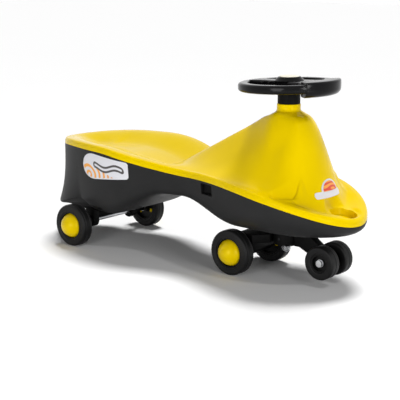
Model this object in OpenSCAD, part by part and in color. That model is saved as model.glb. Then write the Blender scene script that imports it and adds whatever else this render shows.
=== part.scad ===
// Wiggle car: a child's ride-on that rolls along as its steering wheel is swung from side to side.
// Frame: millimetres, +X to the nose, +Y to the left, +Z up.
// The origin is on the ground, below the middle of the body.

/* [Body outline] */
// Length of the body from tail to nose
body_length = 845; // [815:1:875]
// Width of the seat at its widest
seat_width = 268; // [255:1:280]
// Width of the waist between seat and foot deck
waist_width = 194; // [180:1:210]
// Width of the foot deck at its widest
deck_width = 272; // [260:1:285]
// Place of the seat's widest section
seat_x = -137.5; // [-144:0.5:-131]
// Place of the waist
waist_x = 37.5; // [30:0.5:45]
// Place of the deck's widest section
deck_x = 257.5; // [250:0.5:265]
// How square the rounded ends are (2 is an ellipse)
tip_power = 1.9; // [1.8:0.1:2.2]

/* [Seam between the shells] */
// Height of the seam beside the seat
seat_seam = 232; // [229:0.5:235]
// Height of the seam at the tail
tail_seam = 220.5; // [216:0.5:225]
// Height of the seam at the waist
waist_seam = 200.5; // [196:0.5:205]
// Height of the seam at the nose
nose_seam = 135.5; // [132:0.5:140]
// Gap of the seam
seam_gap = 0.6; // [0.5:0.1:1]

/* [Upper shell] */
// Wall of both shells
wall = 4; // [3.5:0.5:5]
// Height of the lip above the seam
lip_height = 14; // [12:1:16]
// Width of the lip
lip_width = 12; // [10:1:14]
// Drop of the lip's rounded outer edge
lip_drop = 6; // [4:1:8]
// Depth of the seat below the lip
seat_dish = 22; // [20:1:26]
// Depth of the foot deck below the lip
deck_dish = 9; // [6:1:12]
// Distance over which seat and deck fall away from the lip
dish_run = 90; // [80:1:100]
// Height of the cone's shoulder below the collar
cone_top = 351.5; // [348:0.5:355]
// Radius of the cone's flat shoulder in front
cone_plateau = 43; // [40:1:46]
// Reach of the cone's foot ahead of the steering axis
cone_reach = 130; // [126:1:134]
// Radius of the cone's shoulder at the sides
flank_plateau = 26; // [25:1:30]
// Length of the ridge's level part behind the steering axis
ridge_plateau = 26; // [20:1:32]
// Fall of the ridge behind the cone for each millimetre of length
ridge_slope = 0.535; // [0.5:0.005:0.56]
// Rounding of the ridge
ridge_round = 7; // [5:1:12]
// Length over which the ridge turns into the round cone
ridge_run = 110; // [90:5:130]

/* [Foot pockets and nose recess] */
// Place of a foot pocket ahead of the steering axis
pocket_lead = 60.3; // [57:0.1:63]
// Distance of a foot pocket from the middle plane
pocket_y = 92; // [90:1:94]
// Length of a foot pocket
pocket_length = 60; // [54:1:64]
// Width of a foot pocket
pocket_width = 18; // [16:1:20]
// Turn of a foot pocket from the length of the body
pocket_turn = 45; // [40:1:50]
// Height of a foot pocket's floor
pocket_floor = 184.5; // [182:0.5:187]
// Height of the foot stop ahead of a pocket, at the cone
stop_top = 215.5; // [212:0.5:219]
// Distance of a foot stop's top from the middle plane
stop_y = 64; // [60:1:68]
// Wall of a foot stop
stop_wall = 6; // [5:0.5:8]
// Outward fall of a foot stop's top edge
stop_fall = 56; // [50:1:60]
// Place of the nose recess
recess_x = 383.5; // [380:0.5:386]
// Height of the nose recess's rim
recess_z = 158; // [157:0.5:160]
// Diameter of the nose recess
recess_d = 54; // [50:1:56]
// Depth of the nose recess
recess_depth = 10; // [8:1:11]
// Slope of the deck round the nose recess
recess_slope = 20; // [18:1:22]

/* [Lower hull] */
// Height of the floor below the seat
rear_floor = 83.5; // [82:0.5:87]
// Height of the floor at the waist
waist_floor = 149.5; // [144:0.5:154]
// Height of the floor above the yoke
front_floor = 101.5; // [101:0.5:105]
// How square the hull's section is below the seat
rear_square = 8; // [6:0.5:9]
// How square the hull's section is below the deck
front_square = 2.6; // [2.4:0.1:3]
// Inward lean of the hull's sides, as a share of their width
side_lean = 0.06; // [0.04:0.01:0.08]
// How square the hull's section is at the tail
tail_square = 36; // [24:1:40]
// Outward flare of the tail's skirt, as a share of its reach
tail_flare = 0.17; // [0.12:0.01:0.19]
// Height of the tail skirt's lower edge
tail_floor = 78; // [76:0.5:82]
// Radius of a wheel arch
arch_r = 62; // [59:1:64]
// Reach of a wheel arch's slope behind the rear axle
arch_tail = 107; // [102:1:112]
// Height of the slope's tail end above the rear axle
arch_tail_rise = 30; // [27:1:33]
// Half-distance between the inner walls of the wheel arches
arch_inner_y = 80; // [78:1:84]
// Length of a snap window
window_length = 36; // [30:1:40]
// Height of a snap window
window_height = 24; // [20:1:26]
// Middle of a snap window along the body
window_x = 110.5; // [107:0.5:114]
// Depth of a snap window's middle below the seam
window_below = 16; // [15:0.5:19]

/* [Main wheels] */
// Diameter of a main wheel
wheel_d = 98; // [94:0.5:99]
// Width of a main wheel
wheel_width = 28; // [26:1:29]
// Distance between the front and rear axles
wheelbase = 430; // [428:1:432]
// Place of the rear axle
rear_axle_x = -277.5; // [-280:0.5:-275]
// Distance between the middles of the rear wheels
rear_track = 249.2; // [248:0.2:252]
// Distance between the middles of the front wheels
front_track = 139; // [138:0.5:141]
// Diameter of the axles
axle_d = 10; // [9:0.5:11]
// Diameter of a wheel cap
cap_d = 57.5; // [54:0.5:59]
// Reach of a wheel cap beyond the wheel's middle
cap_reach = 31; // [29:0.5:32]

/* [Anti-tip wheels] */
// Diameter of an anti-tip wheel
caster_d = 69.6; // [66:0.2:71]
// Width of an anti-tip wheel
caster_width = 27; // [25:0.5:28]
// Distance between the middles of the anti-tip wheels
caster_track = 50.4; // [50:0.2:52]
// Height of their axle
caster_z = 52.5; // [51:0.1:55]
// Distance of their axle ahead of the steering axis
caster_lead = 108; // [106:1:110]
// Diameter of their bolt
caster_bolt_d = 8; // [7:0.5:9]

/* [Steering] */
// Distance of the front axle behind the steering axis
steer_trail = 90.7; // [89:0.1:92]
// Diameter of the steering shaft
shaft_d = 16; // [15:0.5:18]
// Diameter of the collar on the cone
collar_d = 49; // [48:0.5:52]
// Height of the collar's top
collar_top = 367.2; // [364:0.2:370]
// Diameter of the column sleeve
sleeve_d = 46.7; // [45:0.1:48]
// Height of the column sleeve's top
sleeve_top = 394.5; // [392:0.5:397]
// Diameter of the steering wheel
hand_wheel_d = 210; // [200:1:220]
// Height of the steering wheel's top
hand_wheel_top = 417.5; // [415:0.5:420]
// Height of the steering wheel's rim
hand_rim_height = 15; // [13:0.5:16]
// Width of the steering wheel's rim
hand_rim_width = 24; // [20:0.5:26]
// Half-width of the bar across the steering wheel
hand_bar_half = 33; // [30:1:36]
// Depth of the front block below the wheel's top
hand_block_depth = 29.5; // [27:0.5:31]
// Angle taken up by the front block
hand_block_angle = 66; // [56:1:70]
// Diameter of the cap in the middle of the wheel
centre_cap_d = 34; // [30:0.5:36]
// Height of the centre cap's top
centre_cap_top = 424.5; // [422:0.5:426]

/* [Yoke] */
// Diameter of the yoke's hub
yoke_hub_d = 54; // [50:1:56]
// Height of the yoke's underside
yoke_bottom = 69.5; // [68:0.5:71]
// Height of the yoke's top
yoke_top = 97.7; // [97.3:0.1:97.9]
// Half-width of the yoke between the main wheels
yoke_half = 52; // [50:0.5:52]
// Diameter of the front axle's housing
housing_d = 36; // [32:1:38]
// Thickness of the arm between the anti-tip wheels
arm_width = 20; // [18:0.5:20.5]

/* [Clearances] */
// Running clearance of a shaft in its bush, on the radius
run_gap = 0.06; // [0.03:0.01:0.09]
// Clearance of a fixed piece in its seat, on the radius
seat_gap = 0.05; // [0.03:0.01:0.1]
// Clearance between faces that turn past each other
face_gap = 0.4; // [0.3:0.05:0.6]
// Clearance of a screw in its hole, on the radius
screw_gap = 0.2; // [0.15:0.05:0.4]

/* [Hidden] */
$fn = 72;
hex_sides = 6;

yellow = "#E6C800";
hull_grey = "#2D2D2E";
black = "#161616";
gloss_black = "#0E0E0F";
steel = "#B9BBBE";
cream = "#EFE9D2";
nylon = "#D8D6CC";

// Places along the body
nose_x = body_length/2;
front_axle_x = rear_axle_x + wheelbase;
steer_x = front_axle_x + steer_trail;
caster_x = steer_x + caster_lead;
pole_share = 0.648;
tail_pole_x = -nose_x*pole_share;
tail_bend_x = tail_pole_x + lip_width*2;
seat_bend_x = tail_bend_x + lip_width*4;
waist_bend_x = waist_x + lip_width;
nose_fall_power = 2.8;

// The hull's section: angles round its superellipse, from the seam to the floor
profile_angles = [0, 0.5, 4, 12, 24, 36, 48, 60, 72, 84];
function section_wide(angle, square) = pow(cos(angle), 2/square);
function section_deep(angle, square) = pow(sin(angle), 2/square);
tail_reach_share = max([for (a = profile_angles)
    section_wide(a, tail_square)*(1 + tail_flare*pow(section_deep(a, tail_square), 3))]);
tail_x = tail_pole_x - (nose_x + tail_pole_x)/tail_reach_share;

// Plan of the seam
function ease(t) = let (u = max(0, min(1, t))) u*u*(3 - 2*u);
function mix(a, b, t) = a + (b - a)*t;
function tip_share(t) = pow(max(0, 1 - pow(max(0, t), tip_power)), 1/tip_power);
function half_width(x) =
    x < seat_x ? seat_width/2*tip_share((seat_x - x)/(seat_x - tail_x)) :
    x < waist_x ? mix(seat_width, waist_width, ease((x - seat_x)/(waist_x - seat_x)))/2 :
    x < deck_x ? mix(waist_width, deck_width, ease((x - waist_x)/(deck_x - waist_x)))/2 :
    deck_width/2*tip_share((x - deck_x)/(nose_x - deck_x));

// Height of the seam
function seam_z(x) =
    x < tail_bend_x ? mix(seat_seam, tail_seam, pow((tail_bend_x - x)/(tail_bend_x - tail_x), 2)) :
    x < waist_bend_x ? mix(seat_seam, waist_seam, ease((x - seat_bend_x)/(waist_bend_x - seat_bend_x))) :
    mix(waist_seam, nose_seam, pow((x - waist_bend_x)/(nose_x - waist_bend_x), nose_fall_power));

// Height of the hull's floor
floor_rise_back = 42;
floor_fall_ahead = 131;
floor_peak_back = 84;
floor_crest_back = 28;
tail_floor_run = 50;
tail_floor_back = 64;
floor_rise_x = seat_x - floor_rise_back;
floor_peak_x = waist_x - floor_peak_back;
floor_crest_x = waist_x - floor_crest_back;
floor_fall_x = waist_x + floor_fall_ahead;
floor_tail_x = rear_axle_x - tail_floor_back;
function floor_z(x) =
    x < floor_tail_x ? mix(rear_floor, tail_floor, ease((floor_tail_x - x)/tail_floor_run)) :
    x < floor_crest_x ? mix(rear_floor, waist_floor, ease((x - floor_rise_x)/(floor_peak_x - floor_rise_x))) :
    mix(waist_floor, front_floor, ease((x - floor_crest_x)/(floor_fall_x - floor_crest_x)));
function square_at(x) = mix(rear_square, front_square, ease((x - seat_x)/(deck_x - seat_x)));

// The rim runs from the tail's tip along the right side to the nose and back along the left side.
// Each rim point has a ray to the spine, a line on the middle plane between two poles.
tail_rays = 9;
middle_rays = 24;
nose_rays = 16;
half_rays = tail_rays + middle_rays + nose_rays;
rim_count = 2*half_rays;
quarter = 90;
function half_x(k) =
    k < tail_rays ? mix(tail_pole_x, tail_x, cos(quarter*k/tail_rays)) :
    k <= tail_rays + middle_rays ? mix(tail_pole_x, steer_x, (k - tail_rays)/middle_rays) :
    mix(steer_x, nose_x, sin(quarter*(k - tail_rays - middle_rays)/nose_rays));
function half_index(i) = i <= half_rays ? i : rim_count - i;
function rim_point(i) = let (x = half_x(half_index(i))) [x, (i <= half_rays ? -1 : 1)*half_width(x)];
function spine_index(i) = max(0, min(middle_rays, half_index(i) - tail_rays));
function spine_x(s) = mix(tail_pole_x, steer_x, s/middle_rays);
function ray(i) = rim_point(i) - [spine_x(spine_index(i)), 0];
function along_ray(i, share) = [spine_x(spine_index(i)), 0] + ray(i)*share;

// Height of the upper shell at a point that lies a distance in from the rim
dish_bend_x = seat_x + seat_dish*3;
function dish(x) = mix(seat_dish, deck_dish, ease((x - dish_bend_x)/(steer_x - dish_bend_x)));
function deck_z(x, inset) = seam_z(x) + lip_height - dish(x)*ease((inset - lip_width)/dish_run)
    - lip_drop*pow(max(0, 1 - 2*inset/lip_width), 2);
function crest_z(x) = cone_top - ridge_slope*max(0, steer_x - ridge_plateau - x);
lip_foot_share = 1.3;
function foot_half(x) = half_width(x) - lip_width*lip_foot_share;
ridge_power = 1.6;
flank_power = 2.2;
shield_angle = 33;
shield_blend = 40;
function flank_share(d, plateau, reach, power) =
    let (beyond = norm([max(0, d - plateau), ridge_round]) - ridge_round)
    pow(max(0, 1 - beyond/(reach - plateau)), power);
dome_share = 0.035;
function bell_share(d) = (1 - ease((d - cone_plateau)/(cone_reach - cone_plateau)))
    *(1 - dome_share*min(1, pow(d/cone_plateau, 2)));
function cone_share(x, y) = x < steer_x ?
    let (turn = ease(1 - (steer_x - x)/ridge_run))
    flank_share(abs(y), flank_plateau*turn, foot_half(x), mix(ridge_power, flank_power, turn)) :
    let (d = norm([x - steer_x, y]), side = ease((atan2(abs(y), x - steer_x) - shield_angle)/shield_blend))
    mix(bell_share(d), flank_share(d, flank_plateau, foot_half(steer_x), flank_power), side);
function top_z(x, y, inset) = let (deck = deck_z(x, inset)) deck + max(0, crest_z(x) - deck)*cone_share(x, y);
steep_share = 5;
function steepness(x, y) = let (c = cone_share(x, y)) c*(1 - c)*ease((crest_z(x) - seam_z(x))/cone_reach);
function wall_drop(x, y) = wall*(1 + steep_share*steepness(x, y));

// A closed skin of rings round the spine, from a base at the seam to a crown
function band(a, b, flip) = [for (i = [0:rim_count - 1]) let (j = (i + 1)%rim_count)
    for (t = [[a + i, b + i, b + j], [a + i, b + j, a + j]]) flip ? [t[2], t[1], t[0]] : t];
function cap_band(a, b, flip) = [for (i = [0:rim_count - 1])
    let (j = (i + 1)%rim_count, p = b + spine_index(i), q = b + spine_index(j))
    for (t = p == q ? [[a + i, p, a + j]] : [[a + i, p, q], [a + i, q, a + j]])
        flip ? [t[2], t[1], t[0]] : t];
module skin(rings, crown, base, flip) {
    ring_count = len(rings);
    crown_start = ring_count*rim_count;
    base_start = crown_start + middle_rays + 1;
    polyhedron(
        points = concat([for (r = rings) each r], crown, base),
        faces = concat(
            [for (r = [0:ring_count - 2]) each band(r*rim_count, (r + 1)*rim_count, flip)],
            cap_band((ring_count - 1)*rim_count, crown_start, flip),
            cap_band(0, base_start, !flip)),
        convexity = 10);
}

// Rings of the upper shell: close together on the lip, then evenly spaced up to the spine
lip_shares = [0, 0.15, 0.4, 0.75, 1.15];
crown_rings = 14;
function ring_inset(j, reach) = j < len(lip_shares) ? lip_shares[j]*lip_width :
    mix(lip_shares[len(lip_shares) - 1]*lip_width, reach, (j - len(lip_shares) + 1)/crown_rings);

// The base follows the seam across the walls and then sags to the spine, below the dished seat
base_sag = 2*seat_dish;
base_rim = 2*wall;
module upper_solid(thick, base_drop) {
    ring_count = len(lip_shares) + crown_rings - 1;
    function inset_at(i, j) = let (reach = norm(ray(i))) mix(thick, reach, ring_inset(j, reach)/reach);
    function ring_xy(i, j) = along_ray(i, 1 - inset_at(i, j)/norm(ray(i)));
    function fall(x, y) = thick > 0 ? wall_drop(x, y) : 0;
    function base_point(i) = let (
        share = (base_rim + thick)/norm(ray(i)),
        p = along_ray(i, 1 - share))
        [p.x, p.y, mix(seam_z(rim_point(i).x), seam_z(spine_x(spine_index(i))), share) - base_drop];
    function spine_reach(s) = min([for (i = [0:half_rays]) if (spine_index(i) == s) norm(ray(i))]);
    skin(
        rings = concat(
            [[for (i = [0:rim_count - 1]) base_point(i)]],
            [[for (i = [0:rim_count - 1]) let (p = ring_xy(i, 0)) [p.x, p.y, seam_z(p.x) - base_drop]]],
            [for (j = [0:ring_count - 1]) [for (i = [0:rim_count - 1]) let (p = ring_xy(i, j))
                [p.x, p.y, top_z(p.x, p.y, inset_at(i, j)) - fall(p.x, p.y)]]]),
        crown = [for (s = [0:middle_rays]) let (x = spine_x(s))
            [x, 0, top_z(x, 0, spine_reach(s)) - fall(x, 0)]],
        base = [for (s = [0:middle_rays]) let (x = spine_x(s)) [x, 0, seam_z(x) - base_drop - base_sag]],
        flip = false);
}

// The hull's section narrows to the floor; its sides lean in and its tail flares out
tail_full_share = 0.5;
function tail_turn(i) = rim_point(i).x < tail_pole_x ? pow(abs(ray(i).x)/norm(ray(i)), tail_full_share) : 0;
floor_ring_share = 0.5;
module hull_solid(thick, top_rise) {
    function section_point(i, angle, share) = let (
        rim = rim_point(i),
        turn = tail_turn(i),
        square = mix(square_at(rim.x), tail_square, turn),
        deep = section_deep(angle, square),
        lean = 1 + mix(-side_lean*deep*ease(square - front_square), tail_flare*pow(deep, 3), turn),
        p = along_ray(i, share*(1 - thick/norm(ray(i)))*section_wide(angle, square)*lean))
        [p.x, p.y, mix(seam_z(rim.x) + top_rise, floor_z(p.x) + thick, share < 1 ? 1 : deep)];
    last_angle = profile_angles[len(profile_angles) - 1];
    skin(
        rings = concat(
            [for (a = profile_angles) [for (i = [0:rim_count - 1]) section_point(i, a, 1)]],
            [[for (i = [0:rim_count - 1]) section_point(i, last_angle, floor_ring_share)]]),
        crown = [for (s = [0:middle_rays]) let (x = spine_x(s)) [x, 0, floor_z(x) + thick]],
        base = [for (s = [0:middle_rays]) let (x = spine_x(s)) [x, 0, seam_z(x) + top_rise]],
        flip = true);
}

// Small shared shapes
module soft_rect(x0, y0, w, h, r) {
    translate([x0 + r, y0]) square([w - 2*r, h]);
    translate([x0, y0 + r]) square([w, h - 2*r]);
    for (x = [x0 + r, x0 + w - r], y = [y0 + r, y0 + h - r]) translate([x, y]) circle(r);
}
module tube(outer_r, inner_r, low, high) {
    rotate_extrude() translate([inner_r, low]) square([outer_r - inner_r, high - low]);
}
module hex_nut(across, bore_r, low, high) {
    difference() {
        translate([0, 0, low]) cylinder(d = across, h = high - low, $fn = hex_sides);
        translate([0, 0, low - seam_gap]) cylinder(r = bore_r, h = high - low + 2*seam_gap);
    }
}
module at_steering() { translate([steer_x, 0, 0]) children(); }
module on_axle(x, z, side) { translate([x, 0, z]) rotate([-quarter*side, 0, 0]) children(); }

// Screw posts between the shells: a deep well in the hull's post and a pilot hole in the upper one
post_places = [[-184.5, 84], [-26.5, 62], [123.5, 64]];
post_r = 7.5;
post_split = 181.5;
post_gap = 0.5;
post_web = 4;
well_r = 4.8;
screw_r = 2;
screw_head_r = 4.2;
screw_head = 3;
screw_length = 24;
module at_posts() {
    for (p = post_places, side = [-1, 1]) translate([p.x, side*p.y, 0]) children();
}

// Bushes of the steering shaft
top_bush_r = 16;
top_bush_flange_r = 19;
top_bush_low = 334.5;
bush_flange = 3;
bottom_bush_r = 14;
bottom_bush_flange_r = 20;
bearing_boss_r = 26;
bearing_boss_top = 133.5;
thread_r = 6;
shaft_r = shaft_d/2;
bore_r = shaft_r + run_gap;

// A wheel arch is round above the wheel and slopes down from there to the tail
arch_tail_reach = norm([arch_tail, arch_tail_rise]);
slope_angle = 2*quarter - atan2(arch_tail_rise, arch_tail) - acos(arch_r/arch_tail_reach);
slope_normal = [cos(slope_angle), sin(slope_angle)];
arch_steps = 24;
module wheel_arches(grow) {
    low = [-arch_tail, arch_tail_rise] + grow*slope_normal;
    for (side = [-1, 1])
        translate([rear_axle_x, side*(arch_inner_y - grow) + (side + 1)/2*seat_width, wheel_d/2])
            rotate([quarter, 0, 0]) linear_extrude(seat_width)
                polygon(concat([low], [for (k = [0:arch_steps])
                    let (a = mix(slope_angle, -quarter, k/arch_steps)) (arch_r + grow)*[cos(a), sin(a)]],
                    [[low.x, -arch_r - grow]]));
}
module snap_windows() {
    for (side = [-1, 1]) translate([window_x, side*half_width(window_x), seam_z(window_x) - window_below])
        cube([window_length, seat_dish, window_height], center = true);
}
module recess_place() {
    translate([recess_x, 0, recess_z]) rotate([0, recess_slope, 0])
        translate([0, 0, -recess_depth]) children();
}
module recess_cup(high) {
    recess_place() translate([0, 0, -wall]) cylinder(r = recess_d/2 + wall, h = high + wall);
}
module pocket_slots(grow, low, high) {
    reach = (pocket_length - pocket_width)/2;
    for (side = [-1, 1]) translate([steer_x + pocket_lead, side*pocket_y, low])
        rotate([0, 0, -side*pocket_turn]) linear_extrude(high - low) {
            square([2*reach, pocket_width + 2*grow], center = true);
            for (end = [-reach, reach]) translate([end, 0]) circle(r = pocket_width/2 + grow);
        }
}

// A foot stop stands round the front of its pocket; its top falls away to the rim
pocket_low = pocket_floor - wall;
stop_block = 2*pocket_length;
module foot_stops() {
    intersection() {
        pocket_slots(stop_wall, pocket_low, stop_top);
        for (side = [-1, 1]) translate([steer_x, side*stop_y, stop_top]) rotate([-side*stop_fall, 0, 0])
            translate([0, -stop_block/2, -stop_block]) cube(stop_block);
    }
}

module lower_hull() {
    color(hull_grey) difference() {
        hull_solid(0, 0);
        wheel_arches(0);
        difference() {
            hull_solid(wall, lip_height);
            wheel_arches(wall);
            at_posts() cylinder(r = post_r, h = post_split);
            at_steering() cylinder(r = bearing_boss_r, h = bearing_boss_top);
        }
        at_posts() cylinder(r = well_r, h = post_split - post_web);
        at_posts() cylinder(r = screw_r + screw_gap, h = post_split + post_gap);
        at_steering() cylinder(r = bottom_bush_r + seat_gap, h = bearing_boss_top + wall);
        snap_windows();
        carrier_screw_places() cylinder(r = carrier_screw_r + screw_gap, h = rear_floor + 2*wall);
    }
}

module collar() {
    at_steering() translate([0, 0, top_bush_low]) cylinder(d = collar_d, h = collar_top - top_bush_low);
}
module upper_shell() {
    color(yellow) difference() {
        union() {
            upper_solid(0, -seam_gap);
            foot_stops();
            recess_cup(recess_depth/2);
            collar();
        }
        difference() {
            upper_solid(wall, lip_height);
            collar();
            at_posts() translate([0, 0, post_split + post_gap])
                cylinder(r = post_r, h = cone_top - post_split);
            recess_cup(cone_top);
            pocket_slots(wall, pocket_low, cone_top);
        }
        pocket_slots(0, pocket_floor, cone_top);
        recess_place() cylinder(d = recess_d, h = cone_top);
        at_posts() cylinder(r = screw_r + screw_gap, h = post_split + screw_length);
        at_steering() cylinder(r = top_bush_r + seat_gap, h = collar_top + lip_height);
    }
}

module shell_screws() {
    head_z = post_split - post_web;
    color(steel) at_posts() {
        translate([0, 0, head_z - screw_head]) cylinder(r = screw_head_r, h = screw_head);
        translate([0, 0, head_z - screw_head]) cylinder(r = screw_r, h = screw_head + screw_length);
    }
}

// Each latch fills its window but stands back from the hull's face
latch_depth = 9;
latch_back = 5;
module seam_latches() {
    color(black) for (side = [-1, 1])
        translate([window_x, side*(half_width(window_x) - latch_back - latch_depth/2),
            seam_z(window_x) - window_below])
            cube([window_length - 2*seat_gap, latch_depth, window_height - 2*seat_gap], center = true);
}

module top_bush() {
    color(nylon) at_steering() {
        tube(top_bush_r, bore_r, top_bush_low, collar_top);
        tube(top_bush_flange_r, bore_r, top_bush_low - bush_flange, top_bush_low);
    }
}

bush_flange_low = front_floor - bush_flange + seam_gap;
module bottom_bush() {
    color(nylon) at_steering() {
        tube(bottom_bush_r, bore_r, front_floor, bearing_boss_top);
        tube(bottom_bush_flange_r, bore_r, bush_flange_low, front_floor);
    }
}

// Rear axle and its carrier below the hull
carrier_plate = 7;
carrier_gap = 0.2;
carrier_top = rear_floor - carrier_gap;
carrier_half_length = 28;
carrier_half_width = 74;
hanger_half_length = 14;
hanger_low_y = 56;
hanger_high_y = 74;
hanger_width = hanger_high_y - hanger_low_y;
hanger_top = carrier_top - wall;
hanger_r = 15;
carrier_web = 20;
carrier_web_low = wheel_d/2 + axle_d/2 + seam_gap;
carrier_screw_r = 2;
carrier_screw_x = 21;
carrier_screw_y = 38;
axle_r = axle_d/2;
module carrier_screw_places() {
    for (x = [-1, 1], y = [-1, 1])
        translate([rear_axle_x + x*carrier_screw_x, y*carrier_screw_y, 0]) children();
}
module rear_axle_carrier() {
    color(black) difference() {
        union() {
            translate([rear_axle_x - carrier_half_length, -carrier_half_width, carrier_top - carrier_plate])
                cube([2*carrier_half_length, 2*carrier_half_width, carrier_plate]);
            translate([rear_axle_x, 0, (carrier_web_low + hanger_top)/2])
                cube([carrier_web, 2*hanger_low_y + wall, hanger_top - carrier_web_low], center = true);
            for (side = [-1, 1]) {
                on_axle(rear_axle_x, wheel_d/2, side) translate([0, 0, hanger_low_y])
                    cylinder(r = hanger_r, h = hanger_width);
                translate([rear_axle_x, side*(hanger_low_y + hanger_high_y)/2, (wheel_d/2 + hanger_top)/2])
                    cube([2*hanger_half_length, hanger_width, hanger_top - wheel_d/2], center = true);
            }
        }
        on_axle(rear_axle_x, wheel_d/2, 1) translate([0, 0, -seat_width])
            cylinder(r = axle_r + seat_gap, h = 2*seat_width);
        carrier_screw_places() cylinder(r = carrier_screw_r + screw_gap, h = rear_floor);
    }
}
module carrier_screws() {
    low = carrier_top - carrier_plate;
    color(steel) carrier_screw_places() {
        translate([0, 0, low - screw_head]) cylinder(r = screw_head_r, h = screw_head);
        translate([0, 0, low - screw_head]) cylinder(r = carrier_screw_r, h = screw_length);
    }
}

// Wheel sizes along the axle, measured outwards from the wheel's middle
rim_r = 33;
hub_bore_r = 8;
hub_low = -13;
hub_high = 9;
bush_proud = 0.5;
bush_low = hub_low - bush_proud;
bush_high = hub_high + bush_proud;
washer_r = 9;
inner_washer_low = -17.5;
outer_washer = 1.5;
outer_washer_low = bush_high + face_gap;
nut_low = outer_washer_low + outer_washer;
nut_across = 17;
nut_thick = 5.6;
nut_high = nut_low + nut_thick;
thread_proud = 2;
axle_end = nut_high + thread_proud;

module axle_rod(x, track) {
    on_axle(x, wheel_d/2, 1) translate([0, 0, -track/2 - axle_end])
        cylinder(r = axle_r, h = track + 2*axle_end);
}
module axle_washers(x, track) {
    for (side = [-1, 1]) on_axle(x, wheel_d/2, side) translate([0, 0, track/2]) {
        tube(washer_r, axle_r + seat_gap, inner_washer_low, bush_low - face_gap);
        tube(washer_r, axle_r + seat_gap, outer_washer_low, nut_low);
    }
}
module axle_nuts(x, track) {
    for (side = [-1, 1]) on_axle(x, wheel_d/2, side) translate([0, 0, track/2])
        hex_nut(nut_across, axle_r + seat_gap, nut_low, nut_high);
}
module rear_axle() { color(steel) axle_rod(rear_axle_x, rear_track); }
module rear_axle_washers() { color(steel) axle_washers(rear_axle_x, rear_track); }
module rear_axle_nuts() { color(steel) axle_nuts(rear_axle_x, rear_track); }
spacer_r = 8;
spacer_foot_r = 12;
spacer_foot = 8;
module rear_spacers() {
    color(black) for (side = [-1, 1]) on_axle(rear_axle_x, wheel_d/2, side) {
        tube(spacer_foot_r, axle_r + seat_gap, hanger_high_y, hanger_high_y + spacer_foot);
        tube(spacer_r, axle_r + seat_gap, hanger_high_y + spacer_foot, rear_track/2 + inner_washer_low);
    }
}

// Steering wheel, column and shaft
hand_r = hand_wheel_d/2;
hand_soft = 6;
hand_rim_low = hand_wheel_top - hand_rim_height;
hand_hub_r = 31;
hand_bar_height = 14;
hand_block_width = 34;
hand_block_soft = 12;
grip_angle = 54;
grip_proud = 2;
cap_seat_depth = 4;
nut_well_r = 12;
nut_well_depth = 10;
shaft_shoulder = hand_wheel_top - cap_seat_depth - nut_well_depth;
hand_back_r = hand_r - hand_rim_width/2;
module ring_part(angle, middle, low, width, height, soft) {
    rotate([0, 0, middle - angle/2]) rotate_extrude(angle = angle)
        soft_rect(hand_r - width, low, width, height, soft);
}
module steering_wheel() {
    color(gloss_black) at_steering() difference() {
        union() {
            rotate_extrude()
                soft_rect(hand_r - hand_rim_width, hand_rim_low, hand_rim_width, hand_rim_height, hand_soft);
            ring_part(hand_block_angle, 0, hand_wheel_top - hand_block_depth,
                hand_block_width, hand_block_depth, hand_block_soft);
            for (side = [-quarter, quarter]) translate([0, 0, -grip_proud])
                ring_part(grip_angle, side, hand_rim_low, hand_rim_width, hand_rim_height, hand_soft);
            translate([-hand_back_r, -hand_bar_half, hand_wheel_top - hand_bar_height - grip_proud])
                cube([2*hand_back_r, 2*hand_bar_half, hand_bar_height]);
            translate([0, 0, sleeve_top]) cylinder(r = hand_hub_r, h = hand_wheel_top - sleeve_top);
        }
        translate([0, 0, hand_wheel_top - cap_seat_depth])
            cylinder(r = centre_cap_d/2 + seat_gap, h = cap_seat_depth + lip_height);
        translate([0, 0, shaft_shoulder]) cylinder(r = nut_well_r, h = nut_well_depth + seam_gap);
        translate([0, 0, sleeve_top - seam_gap]) cylinder(r = shaft_r + seat_gap, h = hand_bar_height*2);
    }
}
module wheel_centre_cap() {
    low = hand_wheel_top - cap_seat_depth;
    color(cream) at_steering() rotate_extrude() {
        translate([0, low]) square([centre_cap_d/2, cap_seat_depth]);
        intersection() {
            soft_rect(-centre_cap_d/2, low, centre_cap_d, centre_cap_top - low, cap_seat_depth);
            translate([0, low]) square([centre_cap_d/2, centre_cap_top - low]);
        }
    }
}
module column_sleeve() {
    color(black) at_steering() tube(sleeve_d/2, shaft_r + seat_gap, collar_top + face_gap, sleeve_top);
}
shaft_tail = 10;
shaft_end = yoke_bottom - shaft_tail;
top_nut_thick = 8;
top_nut_high = shaft_shoulder + top_nut_thick;
pin_r = 2.5;
pin_z = (yoke_bottom + yoke_top)/2;
module steering_shaft() {
    color(steel) at_steering() difference() {
        union() {
            translate([0, 0, yoke_bottom]) cylinder(r = shaft_r, h = shaft_shoulder - yoke_bottom);
            translate([0, 0, shaft_end]) cylinder(r = thread_r, h = top_nut_high + seam_gap - shaft_end);
        }
        on_axle(0, pin_z, 1) translate([0, 0, -shaft_d]) cylinder(r = pin_r + seat_gap, h = 2*shaft_d);
    }
}
module shaft_top_nut() {
    color(steel) at_steering()
        hex_nut(2*(thread_r + wall), thread_r + seat_gap, shaft_shoulder, top_nut_high);
}
module thrust_washer() {
    color(nylon) at_steering()
        tube(bottom_bush_flange_r, shaft_r + seat_gap, yoke_top, bush_flange_low - face_gap);
}

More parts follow.
